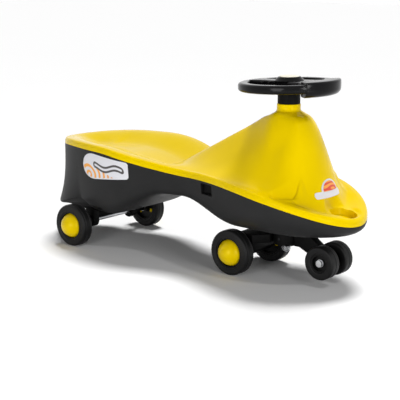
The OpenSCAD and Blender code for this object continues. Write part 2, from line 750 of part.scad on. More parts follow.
// The yoke: hub, saddle over the front axle, and an arm between the anti-tip wheels
bottom_washer = 1.5;
bottom_washer_r = 14;
cap_nut_across = 22;
cap_nut_high = 8;
cap_nut_dome_r = 9;
saddle_front = 50;
saddle_nose = 40;
saddle_back = 18;
saddle_high = 89.5;
arm_boss_r = 13;
arm_slant_start = 66;
arm_edge_shares = [0.6, 0.8];
module yoke() {
    color(hull_grey) difference() {
        union() {
            at_steering() translate([0, 0, yoke_bottom]) cylinder(d = yoke_hub_d, h = yoke_top - yoke_bottom);
            at_steering() translate([0, 0, yoke_bottom]) linear_extrude(saddle_high - yoke_bottom)
                polygon([[0, -yoke_hub_d/2], [0, yoke_hub_d/2], [-saddle_front, yoke_half],
                    [-steer_trail, yoke_half], [-steer_trail, -yoke_half], [-saddle_front, -yoke_half]]);
            translate([steer_x, yoke_half, 0]) rotate([quarter, 0, 0]) linear_extrude(2*yoke_half)
                polygon([[-saddle_front, yoke_bottom], [-saddle_front, saddle_high],
                    [-steer_trail, saddle_high], [-steer_trail - saddle_back, wheel_d/2 + saddle_back],
                    [-steer_trail - housing_d/2, wheel_d/2], [-steer_trail + housing_d/2, wheel_d/2],
                    [-saddle_front - wall, wheel_d/2 + wall]]);
            on_axle(front_axle_x, wheel_d/2, 1) translate([0, 0, -yoke_half])
                cylinder(d = housing_d, h = 2*yoke_half);
            translate([steer_x, arm_width/2, 0]) rotate([quarter, 0, 0]) linear_extrude(arm_width)
                polygon([[0, yoke_bottom], [0, yoke_top], [arm_slant_start, yoke_top],
                    [caster_lead, caster_z] + arm_boss_r*arm_edge_shares,
                    [caster_lead, caster_z] - arm_boss_r*arm_edge_shares,
                    [saddle_nose, yoke_bottom]]);
            on_axle(caster_x, caster_z, 1) translate([0, 0, -arm_width/2])
                cylinder(r = arm_boss_r, h = arm_width);
        }
        at_steering() cylinder(r = shaft_r + seat_gap, h = 2*yoke_top);
        on_axle(front_axle_x, wheel_d/2, 1) translate([0, 0, -seat_width])
            cylinder(r = axle_r + seat_gap, h = 2*seat_width);
        on_axle(caster_x, caster_z, 1) translate([0, 0, -arm_width])
            cylinder(r = caster_bolt_r + seat_gap, h = 2*arm_width);
        on_axle(steer_x, pin_z, 1) translate([0, 0, -yoke_hub_d])
            cylinder(r = pin_r + seat_gap, h = 2*yoke_hub_d);
    }
}
module yoke_cross_pin() {
    color(steel) on_axle(steer_x, pin_z, 1) translate([0, 0, -yoke_hub_d/2])
        cylinder(r = pin_r, h = yoke_hub_d);
}
module shaft_bottom_washer() {
    color(steel) at_steering()
        tube(bottom_washer_r, thread_r + seat_gap, yoke_bottom - bottom_washer, yoke_bottom);
}
module shaft_cap_nut() {
    high = yoke_bottom - bottom_washer;
    color(steel) at_steering() difference() {
        union() {
            translate([0, 0, high - cap_nut_high])
                cylinder(d = cap_nut_across, h = cap_nut_high, $fn = hex_sides);
            translate([0, 0, high - cap_nut_high]) intersection() {
                sphere(r = cap_nut_dome_r);
                translate([0, 0, -cap_nut_dome_r])
                    cylinder(r = cap_nut_dome_r, h = cap_nut_dome_r + seam_gap);
            }
        }
        translate([0, 0, shaft_end - seam_gap])
            cylinder(r = thread_r + seat_gap, h = yoke_bottom - shaft_end);
    }
}
module front_axle() { color(steel) axle_rod(front_axle_x, front_track); }
module front_axle_washers() { color(steel) axle_washers(front_axle_x, front_track); }
module front_axle_nuts() { color(steel) axle_nuts(front_axle_x, front_track); }

// Main wheels
tyre_soft = 6;
groove = 2;
groove_at = 7;
hub_boss_r = 13;
hub_web = 4;
hub_rim = 3;
hub_edge = 12.5;
cap_skin = 2.5;
cap_skirt = 2.5;
cap_base = 6;
cap_sphere_r = (pow(cap_d/2, 2) + pow(cap_reach - cap_base, 2))/(2*(cap_reach - cap_base));
module at_wheel(x, track, side) { on_axle(x, wheel_d/2, side) translate([0, 0, track/2]) children(); }
module tyre() {
    color(black) rotate_extrude() difference() {
        soft_rect(rim_r + seat_gap, -wheel_width/2, wheel_d/2 - rim_r - seat_gap, wheel_width, tyre_soft);
        for (side = [-1, 1]) translate([wheel_d/2, side*groove_at]) circle(r = groove);
    }
}
module hub() {
    color(gloss_black) rotate_extrude() {
        translate([rim_r - hub_rim, -hub_edge]) square([hub_rim, 2*hub_edge]);
        translate([hub_bore_r + seat_gap, -hub_web]) square([rim_r - hub_bore_r - hub_rim, 2*hub_web]);
        translate([hub_bore_r + seat_gap, hub_low]) square([hub_boss_r - hub_bore_r, hub_high - hub_low]);
    }
}
module wheel_bush() { color(nylon) tube(hub_bore_r, axle_r + run_gap, bush_low, bush_high); }
module wheel_cap() {
    color(yellow) rotate_extrude() {
        difference() {
            intersection() {
                translate([0, cap_reach - cap_sphere_r]) circle(r = cap_sphere_r);
                translate([0, cap_base]) square([cap_d/2, cap_reach]);
            }
            translate([0, cap_reach - cap_sphere_r]) circle(r = cap_sphere_r - cap_skin);
        }
        translate([cap_d/2 - cap_skirt, hub_web]) square([cap_skirt, cap_base - hub_web]);
    }
}

// Anti-tip wheels and their bolt
caster_bolt_r = caster_bolt_d/2;
caster_low = -caster_width/2;
caster_high = caster_width/2;
caster_core_r = 20;
caster_face_r = 16.5;
caster_dish = 8;
caster_soft = 6;
caster_hub_r = 9;
bolt_head_r = 7;
bolt_head = 5;
caster_washer_r = 8;
caster_seat = caster_high - caster_dish + face_gap;
caster_washer = 1.5;
module at_caster(side) { on_axle(caster_x, caster_z, side) translate([0, 0, caster_track/2]) children(); }
module caster_tyre() {
    low_r = caster_core_r + seat_gap;
    color(black) rotate_extrude() soft_rect(low_r, caster_low, caster_d/2 - low_r, caster_width, caster_soft);
}
module caster_hub() {
    bore = caster_bolt_r + run_gap;
    color(gloss_black) rotate_extrude() {
        translate([caster_face_r, caster_low + wall/2])
            square([caster_core_r - caster_face_r, caster_width - wall]);
        translate([bore, -hub_web]) square([caster_core_r - bore, 2*hub_web]);
        translate([bore, caster_low]) square([caster_hub_r - bore, caster_width - caster_dish]);
    }
}
module caster_bolt() {
    reach = caster_track/2 + caster_seat + caster_washer;
    color(steel) on_axle(caster_x, caster_z, -1) {
        translate([0, 0, -reach - bolt_head - seam_gap])
            cylinder(r = caster_bolt_r, h = 2*reach + bolt_head + seam_gap);
        translate([0, 0, reach]) cylinder(r = bolt_head_r, h = bolt_head);
    }
}
module caster_washers() {
    color(steel) for (side = [-1, 1]) at_caster(side)
        tube(caster_washer_r, caster_bolt_r + seat_gap, caster_seat, caster_seat + caster_washer);
}
module caster_nut() {
    low = caster_seat + caster_washer;
    color(steel) at_caster(1) hex_nut(2*bolt_head_r, caster_bolt_r + seat_gap, low, low + bolt_head);
}

lower_hull();
upper_shell();
shell_screws();
seam_latches();
top_bush();
bottom_bush();
rear_axle_carrier();
carrier_screws();
rear_axle();
rear_spacers();
rear_axle_washers();
rear_axle_nuts();
steering_wheel();
wheel_centre_cap();
column_sleeve();
steering_shaft();
shaft_top_nut();
thrust_washer();
yoke();
yoke_cross_pin();
shaft_bottom_washer();
shaft_cap_nut();
front_axle();
front_axle_washers();
front_axle_nuts();
caster_bolt();
caster_washers();
caster_nut();
at_wheel(rear_axle_x, rear_track, 1) tyre();  // rear_left_tyre
at_wheel(rear_axle_x, rear_track, 1) hub();  // rear_left_hub
at_wheel(rear_axle_x, rear_track, 1) wheel_bush();  // rear_left_bush
at_wheel(rear_axle_x, rear_track, 1) wheel_cap();  // rear_left_cap
at_wheel(rear_axle_x, rear_track, -1) tyre();  // rear_right_tyre
at_wheel(rear_axle_x, rear_track, -1) hub();  // rear_right_hub
at_wheel(rear_axle_x, rear_track, -1) wheel_bush();  // rear_right_bush
at_wheel(rear_axle_x, rear_track, -1) wheel_cap();  // rear_right_cap
at_wheel(front_axle_x, front_track, 1) tyre();  // front_left_tyre
at_wheel(front_axle_x, front_track, 1) hub();  // front_left_hub
at_wheel(front_axle_x, front_track, 1) wheel_bush();  // front_left_bush
at_wheel(front_axle_x, front_track, 1) wheel_cap();  // front_left_cap
at_wheel(front_axle_x, front_track, -1) tyre();  // front_right_tyre
at_wheel(front_axle_x, front_track, -1) hub();  // front_right_hub
at_wheel(front_axle_x, front_track, -1) wheel_bush();  // front_right_bush
at_wheel(front_axle_x, front_track, -1) wheel_cap();  // front_right_cap
at_caster(1) caster_tyre();  // caster_left_tyre
at_caster(1) caster_hub();  // caster_left_hub
at_caster(-1) caster_tyre();  // caster_right_tyre
at_caster(-1) caster_hub();  // caster_right_hub
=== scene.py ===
"""Wiggle car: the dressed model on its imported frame, in metres, +X to the nose, +Y to the left, +Z up."""
from functools import partial
from math import acos, asin, atan2, copysign, cos, degrees, hypot, pi, radians, sin, sqrt, tan

import bmesh
import bpy
from bpy.props import FloatProperty, FloatVectorProperty, PointerProperty
from mathutils import Matrix, Vector


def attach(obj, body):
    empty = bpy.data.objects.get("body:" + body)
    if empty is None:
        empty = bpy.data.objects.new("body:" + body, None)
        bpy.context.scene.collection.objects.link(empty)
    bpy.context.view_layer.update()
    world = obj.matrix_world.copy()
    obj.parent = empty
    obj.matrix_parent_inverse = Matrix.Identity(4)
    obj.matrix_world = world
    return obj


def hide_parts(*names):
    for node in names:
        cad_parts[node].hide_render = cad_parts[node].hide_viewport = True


bl_info = {
    "name": "Wiggle Car",
    "version": (1, 0, 0),
    "blender": (4, 5, 0),
    "location": "3D View > Sidebar > Wiggle Car",
    "description": "Dresses the packed wiggle car with smooth shells, wheels, trim and finishes",
    "category": "Object",
}

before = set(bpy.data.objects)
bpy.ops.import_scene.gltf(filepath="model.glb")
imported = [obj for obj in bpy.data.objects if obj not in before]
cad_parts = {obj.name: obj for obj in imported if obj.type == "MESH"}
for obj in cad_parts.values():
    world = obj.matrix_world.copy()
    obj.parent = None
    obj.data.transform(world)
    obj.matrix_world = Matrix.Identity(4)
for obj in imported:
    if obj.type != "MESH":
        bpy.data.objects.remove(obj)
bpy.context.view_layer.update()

# Places and sizes that follow the solids, in metres
STEER_X = 0.2432
REAR_AXLE_X = -0.2775
FRONT_AXLE_X = 0.1525
CASTER_X = 0.3512
WHEEL_R = 0.049
REAR_HALF_TRACK = 0.1246
FRONT_HALF_TRACK = 0.0695
CASTER_Z = 0.0525
CASTER_R = 0.0348
CASTER_HALF_TRACK = 0.0252
SEAT_X = -0.1375
WAIST_X = 0.0375
DECK_X = 0.2575
WINDOW_X = 0.1105
WINDOW_DROP = 0.016
AXLE_BORE = 0.0051

RIM_STEPS = 320
SHARP_ANGLE = 0.7
HANDS = ((1, "left"), (-1, "right"))


def ease(t):
    """Smooth step from 0 to 1."""
    u = min(1.0, max(0.0, t))
    return u * u * (3 - 2 * u)


def mix(a, b, t):
    return a + (b - a) * t


# Property groups

LengthProperty = partial(FloatProperty, unit="LENGTH")
PowerProperty = partial(FloatProperty, unit="POWER")
AngleProperty = partial(FloatProperty, subtype="ANGLE")
ColourProperty = partial(FloatVectorProperty, subtype="COLOR", size=3)


class WIGGLE_PG_body(bpy.types.PropertyGroup):
    """Sizes of the two shells."""

    half_length: LengthProperty(name="Half length", description="From the middle to the nose", default=0.4225)
    seat_width: LengthProperty(name="Seat width", description="Width of the seat at its widest", default=0.268)
    waist_width: LengthProperty(name="Waist width", description="Width between seat and deck", default=0.194)
    deck_width: LengthProperty(name="Deck width", description="Width of the foot deck", default=0.272)
    seat_seam: LengthProperty(name="Seat seam", description="Height of the seam beside the seat", default=0.232)
    tail_seam: LengthProperty(name="Tail seam", description="Height of the seam at the tail", default=0.2205)
    waist_seam: LengthProperty(name="Waist seam", description="Height of the seam at the waist", default=0.2005)
    nose_seam: LengthProperty(name="Nose seam", description="Height of the seam at the nose", default=0.1355)
    lip_height: LengthProperty(name="Lip height", description="Height of the lip above the seam", default=0.014)
    lip_width: LengthProperty(name="Lip width", description="Width of the lip", default=0.012)
    seat_dish: LengthProperty(name="Seat dish", description="Depth of the seat below the lip", default=0.022)
    deck_dish: LengthProperty(name="Deck dish", description="Depth of the deck below the lip", default=0.009)
    cone_top: LengthProperty(name="Cone top", description="Height of the cone's shoulder", default=0.3515)
    cone_reach: LengthProperty(name="Cone reach", description="Reach of the cone's foot in front", default=0.130)
    ridge_slope: FloatProperty(name="Ridge slope", description="Fall of the ridge per length", default=0.535)
    rear_floor: LengthProperty(name="Rear floor", description="Height of the hull below the seat", default=0.0835)
    waist_floor: LengthProperty(name="Waist floor", description="Height of the hull at the waist", default=0.1495)
    front_floor: LengthProperty(name="Front floor", description="Height of the hull over the yoke", default=0.1015)
    tail_floor: LengthProperty(name="Tail floor", description="Height of the tail's skirt", default=0.078)
    tail_flare: FloatProperty(name="Tail flare", description="Outward flare of the skirt", default=0.17)
    arch_radius: LengthProperty(name="Arch radius", description="Radius of a wheel arch", default=0.062)


class WIGGLE_PG_colours(bpy.types.PropertyGroup):
    """Colours of the finishes."""

    shell: ColourProperty(name="Shell", description="Yellow of the upper shell", default=(0.757, 0.538, 0.0))
    hull: ColourProperty(name="Hull", description="Grey of the hull", default=(0.014, 0.014, 0.0144))
    moulding: ColourProperty(name="Moulding", description="Black of column and carrier", default=(0.003, 0.003, 0.003))
    wheel_rim: ColourProperty(
        name="Steering wheel", description="Black of the steering wheel", default=(0.003, 0.003, 0.0032)
    )
    tyre: ColourProperty(name="Tyre", description="Black of the tyres", default=(0.005, 0.005, 0.0052))
    cream: ColourProperty(name="Centre cap", description="Cream of the centre cap", default=(0.84, 0.80, 0.66))
    label: ColourProperty(name="Label", description="Pale ground of the labels", default=(0.66, 0.66, 0.70))
    label_ink: ColourProperty(name="Label ink", description="Orange of the labels", default=(0.80, 0.33, 0.03))


class WIGGLE_PG_stage(bpy.types.PropertyGroup):
    """Camera and light."""

    camera_place: FloatVectorProperty(
        name="Camera", description="Place of the camera", subtype="XYZ", size=3, default=(1.494948, -1.760479, 0.656678)
    )
    azimuth: AngleProperty(name="Azimuth", description="Turn of the view", default=radians(40.263))
    elevation: AngleProperty(name="Elevation", description="Height of the view", default=radians(12.909))
    lens: FloatProperty(name="Lens", description="Focal length in millimetres", default=94.71)
    key_light: FloatProperty(name="Key light", description="Strength of the high light", default=3.1)
    front_light: PowerProperty(name="Front light", description="Power of the low front light", default=25.0)
    nose_light: PowerProperty(name="Nose light", description="Power of the light ahead of the nose", default=25.0)
    glint_light: PowerProperty(
        name="Glint light", description="Power of the small light that makes highlights", default=6.5
    )
    sky: FloatProperty(name="Sky", description="Strength of the sky on the object", default=0.12)


# Shape of the body

TAIL_RAYS, MIDDLE_RAYS, NOSE_RAYS = 30.0, 70.0, 60.0
TAIL_POLE_SHARE = 0.648
TIP_POWER = 1.9
SEAM_POWER = 2.8
SEAT_RUN, DECK_RUN, NOSE_RUN = 0.090, 0.055, 0.034
NOSE_START, NOSE_LENGTH, NOSE_SINK = 0.060, 0.060, 0.004
CONE_PLATEAU, RIDGE_PLATEAU, FLANK_PLATEAU = 0.037, 0.026, 0.026
FOOT_LIPS = 1.3
DOME_SHARE = 0.035
SHOULDER_START, SHOULDER_RUN = 0.024, 0.036
RIDGE_BEND, RIDGE_ROUND, RIDGE_RUN = 0.012, 0.007, 0.110
RIDGE_POWER, FLANK_POWER = 1.4, 2.2
FRONT_ARC, SIDE_ARC = 30, 60
NECK_RISE, NECK_START, NECK_RUN = 0.006, 0.015, 0.030
COLLAR_R, COLLAR_FILLET, COLLAR_FOOT = 0.0245, 0.003, 0.032
POCKET_AHEAD, POCKET_ASIDE, POCKET_HALF = 0.0603, 0.092, 0.021
POCKET_REACH, POCKET_DEPTH, POCKET_FLOOR = 0.015, 0.008, 0.188
STOP_BACK, STOP_FRONT, STOP_UP, STOP_DOWN = 0.310, 0.345, (0.316, 0.006), (0.324, 0.016)
STOP_ASIDE, STOP_HALF, STOP_RISE = 0.073, 0.016, 0.009
RECESS_X, RECESS_Z, RECESS_TILT = 0.3834, 0.1575, radians(12)
RECESS_R, RECESS_WALL, RECESS_BLEND = 0.0285, 0.003, 0.013
RECESS_DEPTH, RECESS_REACH = 0.015, 0.042
REAR_SQUARE, FRONT_SQUARE, TAIL_SQUARE = 8.0, 2.6, 36.0
SIDE_LEAN = 0.06


class Body:
    """Formulas of the two shells, which follow the plan, seam, floor and cone of the solids closely."""

    def __init__(self, size):
        self.size = size
        self.nose = size.half_length
        self.tail_pole = -self.nose * TAIL_POLE_SHARE
        self.tail = self.tail_pole - (self.nose + self.tail_pole) / self.tail_reach()
        self.half_rays = TAIL_RAYS + MIDDLE_RAYS + NOSE_RAYS

    def section(self, theta, square):
        """Width and depth shares of the hull's section in the direction theta."""
        wide, deep = abs(cos(theta)), abs(sin(theta))
        reach = (wide**square + deep**square) ** (1 / square)
        return wide / reach, deep / reach

    def tail_reach(self):
        reach = 1.0
        for step in range(91):
            wide, deep = self.section(radians(step), TAIL_SQUARE)
            reach = max(reach, wide * (1 + self.size.tail_flare * deep**3))
        return reach

    def tip(self, t):
        return max(0.0, 1 - max(0.0, t) ** TIP_POWER) ** (1 / TIP_POWER)

    def half_width(self, x):
        seat, waist, deck = self.size.seat_width / 2, self.size.waist_width / 2, self.size.deck_width / 2
        if x < SEAT_X:
            return seat * self.tip((SEAT_X - x) / (SEAT_X - self.tail))
        if x < WAIST_X:
            return mix(seat, waist, ease((x - SEAT_X) / (WAIST_X - SEAT_X)))
        if x < DECK_X:
            return mix(waist, deck, ease((x - WAIST_X) / (DECK_X - WAIST_X)))
        return deck * self.tip((x - DECK_X) / (self.nose - DECK_X))

    def seam(self, x):
        size = self.size
        tail_bend = self.tail_pole + 0.024
        seat_bend = tail_bend + 0.048
        waist_bend = WAIST_X + 0.012
        if x < tail_bend:
            return mix(size.seat_seam, size.tail_seam, ((tail_bend - x) / (tail_bend - self.tail)) ** 2)
        if x < waist_bend:
            return mix(size.seat_seam, size.waist_seam, ease((x - seat_bend) / (waist_bend - seat_bend)))
        share = (x - waist_bend) / (self.nose - waist_bend)
        return mix(size.waist_seam, size.nose_seam, share**SEAM_POWER)

    def floor(self, x):
        size = self.size
        tail_start, tail_run = REAR_AXLE_X - 0.064, 0.050
        if x < tail_start:
            return mix(size.rear_floor, size.tail_floor, ease((tail_start - x) / tail_run))
        rise, peak, crest, front = SEAT_X - 0.050, WAIST_X - 0.060, WAIST_X - 0.020, WAIST_X + 0.131
        if x < crest:
            return mix(size.rear_floor, size.waist_floor, ease((x - rise) / (peak - rise)))
        return mix(size.waist_floor, size.front_floor, ease((x - crest) / (front - crest)))

    def square(self, x):
        return mix(REAR_SQUARE, FRONT_SQUARE, ease((x - SEAT_X) / (DECK_X - SEAT_X)))

    def rim(self, turn):
        """Rim point and its place on the spine, for a turn from 0 to 1 round the body from the tail."""
        k = turn * 2 * self.half_rays
        h = k if k <= self.half_rays else 2 * self.half_rays - k
        middle_end = TAIL_RAYS + MIDDLE_RAYS
        if h < TAIL_RAYS:
            x = mix(self.tail_pole, self.tail, cos(pi / 2 * h / TAIL_RAYS))
        elif h <= middle_end:
            x = mix(self.tail_pole, STEER_X, (h - TAIL_RAYS) / MIDDLE_RAYS)
        else:
            x = mix(STEER_X, self.nose, sin(pi / 2 * (h - middle_end) / NOSE_RAYS))
        spine = min(STEER_X, max(self.tail_pole, x))
        side = -1 if k <= self.half_rays else 1
        return Vector((x, side * self.half_width(x))), Vector((spine, 0))

    def nose_inset(self, x, y):
        """Distance in from the rim at a point ahead of the steering axis, along its ray."""
        angle = atan2(abs(y), x - STEER_X)
        low, high = 0.0, 1.0
        for _ in range(30):
            share = (low + high) / 2
            rim_x = mix(STEER_X, self.nose, share)
            if atan2(self.half_width(rim_x), rim_x - STEER_X) > angle:
                low = share
            else:
                high = share
        return hypot(rim_x - STEER_X, self.half_width(rim_x)) - hypot(x - STEER_X, y)

    def inset(self, x, y):
        """Distance in from the rim at a point of the seat, the ridge or the nose."""
        return self.nose_inset(x, y) if x > STEER_X else self.half_width(x) - abs(y)

    def deck(self, x, inset):
        size = self.size
        bend = SEAT_X + 3 * size.seat_dish
        ahead = ease((x - bend) / (STEER_X - bend))
        nose = ease((x - STEER_X - NOSE_START) / NOSE_LENGTH)
        dish = mix(size.seat_dish, size.deck_dish, ahead) + NOSE_SINK * nose
        run = mix(mix(SEAT_RUN, DECK_RUN, ahead), NOSE_RUN, nose)
        return self.seam(x) + size.lip_height - dish * ease((inset - size.lip_width) / run)

    def flank(self, d, plateau, reach, power):
        beyond = hypot(max(0.0, d - plateau), RIDGE_ROUND) - RIDGE_ROUND
        return max(0.0, 1 - beyond / (reach - plateau)) ** power

    def cone(self, x, y):
        """Share of the crest's height that the cone keeps at a point."""
        foot = self.half_width(min(x, STEER_X)) - FOOT_LIPS * self.size.lip_width
        d = hypot(x - STEER_X, y)
        dome = 1 - DOME_SHARE * min(1, (d / CONE_PLATEAU) ** 2)
        shoulder = ease((d - SHOULDER_START) / SHOULDER_RUN)
        if x < STEER_X:
            turn = ease(1 - (STEER_X - x) / RIDGE_RUN)
            power = mix(RIDGE_POWER, FLANK_POWER, turn)
            return mix(dome, self.flank(abs(y), FLANK_PLATEAU * turn, foot, power), shoulder)
        side = ease((degrees(atan2(abs(y), x - STEER_X)) - FRONT_ARC) / SIDE_ARC)
        bell = dome * (1 - ease((d - CONE_PLATEAU) / (self.size.cone_reach - CONE_PLATEAU)))
        return mix(bell, self.flank(d, FLANK_PLATEAU, foot, FLANK_POWER), side * shoulder)

    def crown(self, x, y, inset):
        """Height of the upper shell without its pockets, stops and recess."""
        deck = self.deck(x, inset)
        behind = STEER_X - RIDGE_PLATEAU - x
        fall = (behind + hypot(behind, RIDGE_BEND)) / 2
        z = deck + max(0.0, self.size.cone_top - self.size.ridge_slope * fall - deck) * self.cone(x, y)
        d = hypot(x - STEER_X, y)
        z += NECK_RISE * (1 - ease((d - NECK_START) / NECK_RUN))
        fillet = COLLAR_FILLET
        into = min(fillet, max(0.0, fillet - (d - COLLAR_R)))
        return z + fillet - sqrt(fillet**2 - into**2)

    def slot_reach(self, x, y):
        """Distance from the middle line of a foot pocket."""
        ahead, aside = x - STEER_X - POCKET_AHEAD, abs(y) - POCKET_ASIDE
        along, across = (ahead - aside) * sqrt(0.5), (ahead + aside) * sqrt(0.5)
        return hypot(max(0.0, abs(along) - POCKET_HALF), across)

    def recess_reach(self, x, y):
        """Distance from the middle of the nose recess, in its tilted plane."""
        return hypot((x - RECESS_X) / cos(RECESS_TILT), y)

    def top(self, x, y, inset):
        """Height of the upper shell, with its foot stops, foot pockets and nose recess."""
        z = self.crown(x, y, inset)
        aside = (abs(y) - STOP_ASIDE) / STOP_HALF
        if abs(aside) < 1 and STOP_BACK < x < STOP_FRONT:
            up, down = [ease((x - start) / run) for start, run in (STOP_UP, STOP_DOWN)]
            z += STOP_RISE * (1 - aside * aside) * up * (1 - down)
        reach = self.slot_reach(x, y)
        if reach < POCKET_REACH:
            scoop = min(z, max(POCKET_FLOOR, z - POCKET_DEPTH))
            z = mix(z, scoop, 1 - ease(reach / POCKET_REACH))
        radius = self.recess_reach(x, y)
        if radius < RECESS_REACH:
            rim = RECESS_Z - (x - RECESS_X) * tan(RECESS_TILT)
            z = mix(z, min(z, rim), 1 - ease((radius - RECESS_R) / RECESS_BLEND))
            wall = (radius - RECESS_R) / RECESS_WALL + 1
            z = mix(z, rim - RECESS_DEPTH, 1 - ease(wall))
        return z

    def detailed(self, x, y):
        """Whether a point lies on or near a pocket, a stop, the recess or the collar's foot."""
        return (
            self.recess_reach(x, y) < RECESS_REACH + 0.001
            or hypot(x - STEER_X, y) < COLLAR_FOOT
            or self.slot_reach(x, y) < POCKET_REACH + 0.003
            or (STOP_BACK < x < STOP_FRONT and 0.056 < abs(y) < 0.092)
        )

    def front_x(self, y, z):
        """Place on the front of the cone at a height."""
        low, high = STEER_X + 0.05, STEER_X + 0.13
        for _ in range(30):
            x = (low + high) / 2
            if self.crown(x, y, self.nose_inset(x, y)) > z:
                low = x
            else:
                high = x
        return x

    def hull_point(self, turn, theta):
        """Point of the hull's outside, from the seam (theta 0) to the floor's middle."""
        rim, spine = self.rim(turn)
        ray = rim - spine
        bend = ease((abs(ray.x) / ray.length) ** 0.6) if rim.x < self.tail_pole else 0.0
        square = mix(self.square(rim.x), TAIL_SQUARE, bend)
        wide, deep = self.section(theta, square)
        inward = -SIDE_LEAN * deep * ease(square - FRONT_SQUARE)
        lean = 1 + mix(inward, self.size.tail_flare * deep**3, bend)
        p = spine + ray * (wide * lean)
        return Vector((p.x, p.y, mix(self.seam(rim.x), self.floor(p.x), deep)))

    def side_y(self, x, z):
        """Half-width of the hull beside the seat at a height."""
        square = self.square(x)
        deep = (self.seam(x) - z) / (self.seam(x) - self.floor(x))
        wide = max(0.0, 1 - deep**square) ** (1 / square)
        return self.half_width(x) * wide * (1 - SIDE_LEAN * deep * ease(square - FRONT_SQUARE))


# Finishes


def wire(tree, node, inputs):
    """Gives a node's inputs, by name or number, their links or values."""
    for key, source in inputs.items():
        if isinstance(source, bpy.types.NodeSocket):
            tree.links.new(source, node.inputs[key])
        else:
            node.inputs[key].default_value = source
    return node


def add_node(tree, kind, inputs):
    return wire(tree, tree.nodes.new("ShaderNode" + kind), inputs)


def new_material(name):
    """A material with its node tree and its shader."""
    material = bpy.data.materials.new(name)
    material.use_nodes = True
    return material, material.node_tree, material.node_tree.nodes["Principled BSDF"]


def noise(tree, scale, detail, stretch=(1, 1, 1)):
    """A cloudy pattern in the object's own frame."""
    coords = add_node(tree, "TexCoord", {}).outputs["Object"]
    place = add_node(tree, "Mapping", {"Vector": coords, "Scale": stretch}).outputs["Vector"]
    return add_node(tree, "TexNoise", {"Vector": place, "Scale": scale, "Detail": detail}).outputs["Fac"]


def spread(tree, source, low, high):
    """A number between low and high that follows a pattern."""
    inputs = {"Value": source, "From Min": 0.3, "From Max": 0.7, "To Min": low, "To Max": high}
    return add_node(tree, "MapRange", inputs).outputs["Result"]


def calc(tree, operation, *sources):
    """A math node on sockets and numbers."""
    node = add_node(tree, "Math", dict(enumerate(sources)))
    node.operation = operation
    return node.outputs["Value"]


def ramp(tree, source, stops):
    """A colour ramp with its stops as (position, colour)."""
    node = add_node(tree, "ValToRGB", {"Fac": source})
    while len(node.color_ramp.elements) < len(stops):
        node.color_ramp.elements.new(0.5)
    for element, (position, colour) in zip(node.color_ramp.elements, stops):
        element.position, element.color = position, (*colour, 1)
    return node.outputs["Color"]


def mix_colours(tree, share, first, second):
    """A mix of two colours; 0, 6, 7 and 2 are the mix node's colour sockets."""
    node = tree.nodes.new("ShaderNodeMix")
    node.data_type = "RGBA"
    return wire(tree, node, {0: share, 6: first, 7: second}).outputs[2]


def finish(
    name, colour, rough, grain_scale, grain_depth, mottle=0.06, shine=0.5, metal=0.0, stretch=(1, 1, 1), tint=(1, 1, 1)
):
    """A moulded or metal finish: mottled colour, uneven gloss and a fine grain."""
    material, tree, shader = new_material(name)
    dark, light = [(*[min(1, c * share) for c in colour], 1) for share in (1 - mottle, 1 + mottle)]
    grain = noise(tree, grain_scale, 2, stretch)
    bump = add_node(tree, "Bump", {"Height": grain, "Strength": 0.35, "Distance": grain_depth})
    inputs = {
        "Base Color": mix_colours(tree, spread(tree, noise(tree, 14, 3), 0, 1), dark, light),
        "Roughness": spread(tree, grain, rough * 0.85, rough * 1.15),
        "Normal": bump.outputs["Normal"],
        "Metallic": metal,
        "Specular IOR Level": shine,
        "Specular Tint": (*tint, 1),
    }
    wire(tree, shader, inputs)
    return material


def label_finish(name, ground, ink, centre, wave_scale, band=None):
    """A printed label: pale ground with contour lines and, where asked, a wavy band over them."""
    material, tree, shader = new_material(name)
    coords = add_node(tree, "TexCoord", {}).outputs["Object"]
    place = add_node(tree, "Mapping", {"Vector": coords, "Location": [-c for c in centre]}).outputs["Vector"]
    inputs = {"Vector": place, "Scale": wave_scale, "Distortion": 5.0, "Detail": 1.0, "Detail Scale": 0.6}
    wave = add_node(tree, "TexWave", inputs)
    wave.wave_type, wave.rings_direction = "RINGS", "Y"
    colour = ramp(tree, wave.outputs["Fac"], ((0.52, ground), (0.64, ink)))
    if band:
        slant, limit = 0.28, 0.025
        rate, swing, height = 85.0, 0.004, 0.021
        middle, half_length, half_height = 0.066, 0.042, 0.0075
        op = partial(calc, tree)
        parts = add_node(tree, "SeparateXYZ", {"Vector": place})
        x, z = parts.outputs["X"], parts.outputs["Z"]
        bare = op("GREATER_THAN", op("ADD", op("MULTIPLY", x, slant), z), limit)
        colour = mix_colours(tree, bare, colour, (*ground, 1))
        curve = op("MULTIPLY", op("SINE", op("MULTIPLY", x, rate)), swing)
        level = op("SUBTRACT", op("SUBTRACT", z, curve), height)
        reach = op("ABSOLUTE", op("SUBTRACT", x, middle))
        past = op("MAXIMUM", op("SUBTRACT", reach, half_length), 0.0)
        squares = [op("MULTIPLY", side, side) for side in (level, past)]
        far = op("SQRT", op("ADD", *squares))
        stops = ((0.0, ground), (0.22, ground), (0.28, band), (0.80, band))
        stripe = ramp(tree, op("MULTIPLY", far, 100.0), stops)
        colour = mix_colours(tree, op("LESS_THAN", far, half_height), colour, stripe)
    wire(tree, shader, {"Base Color": colour, "Roughness": 0.38})
    return material


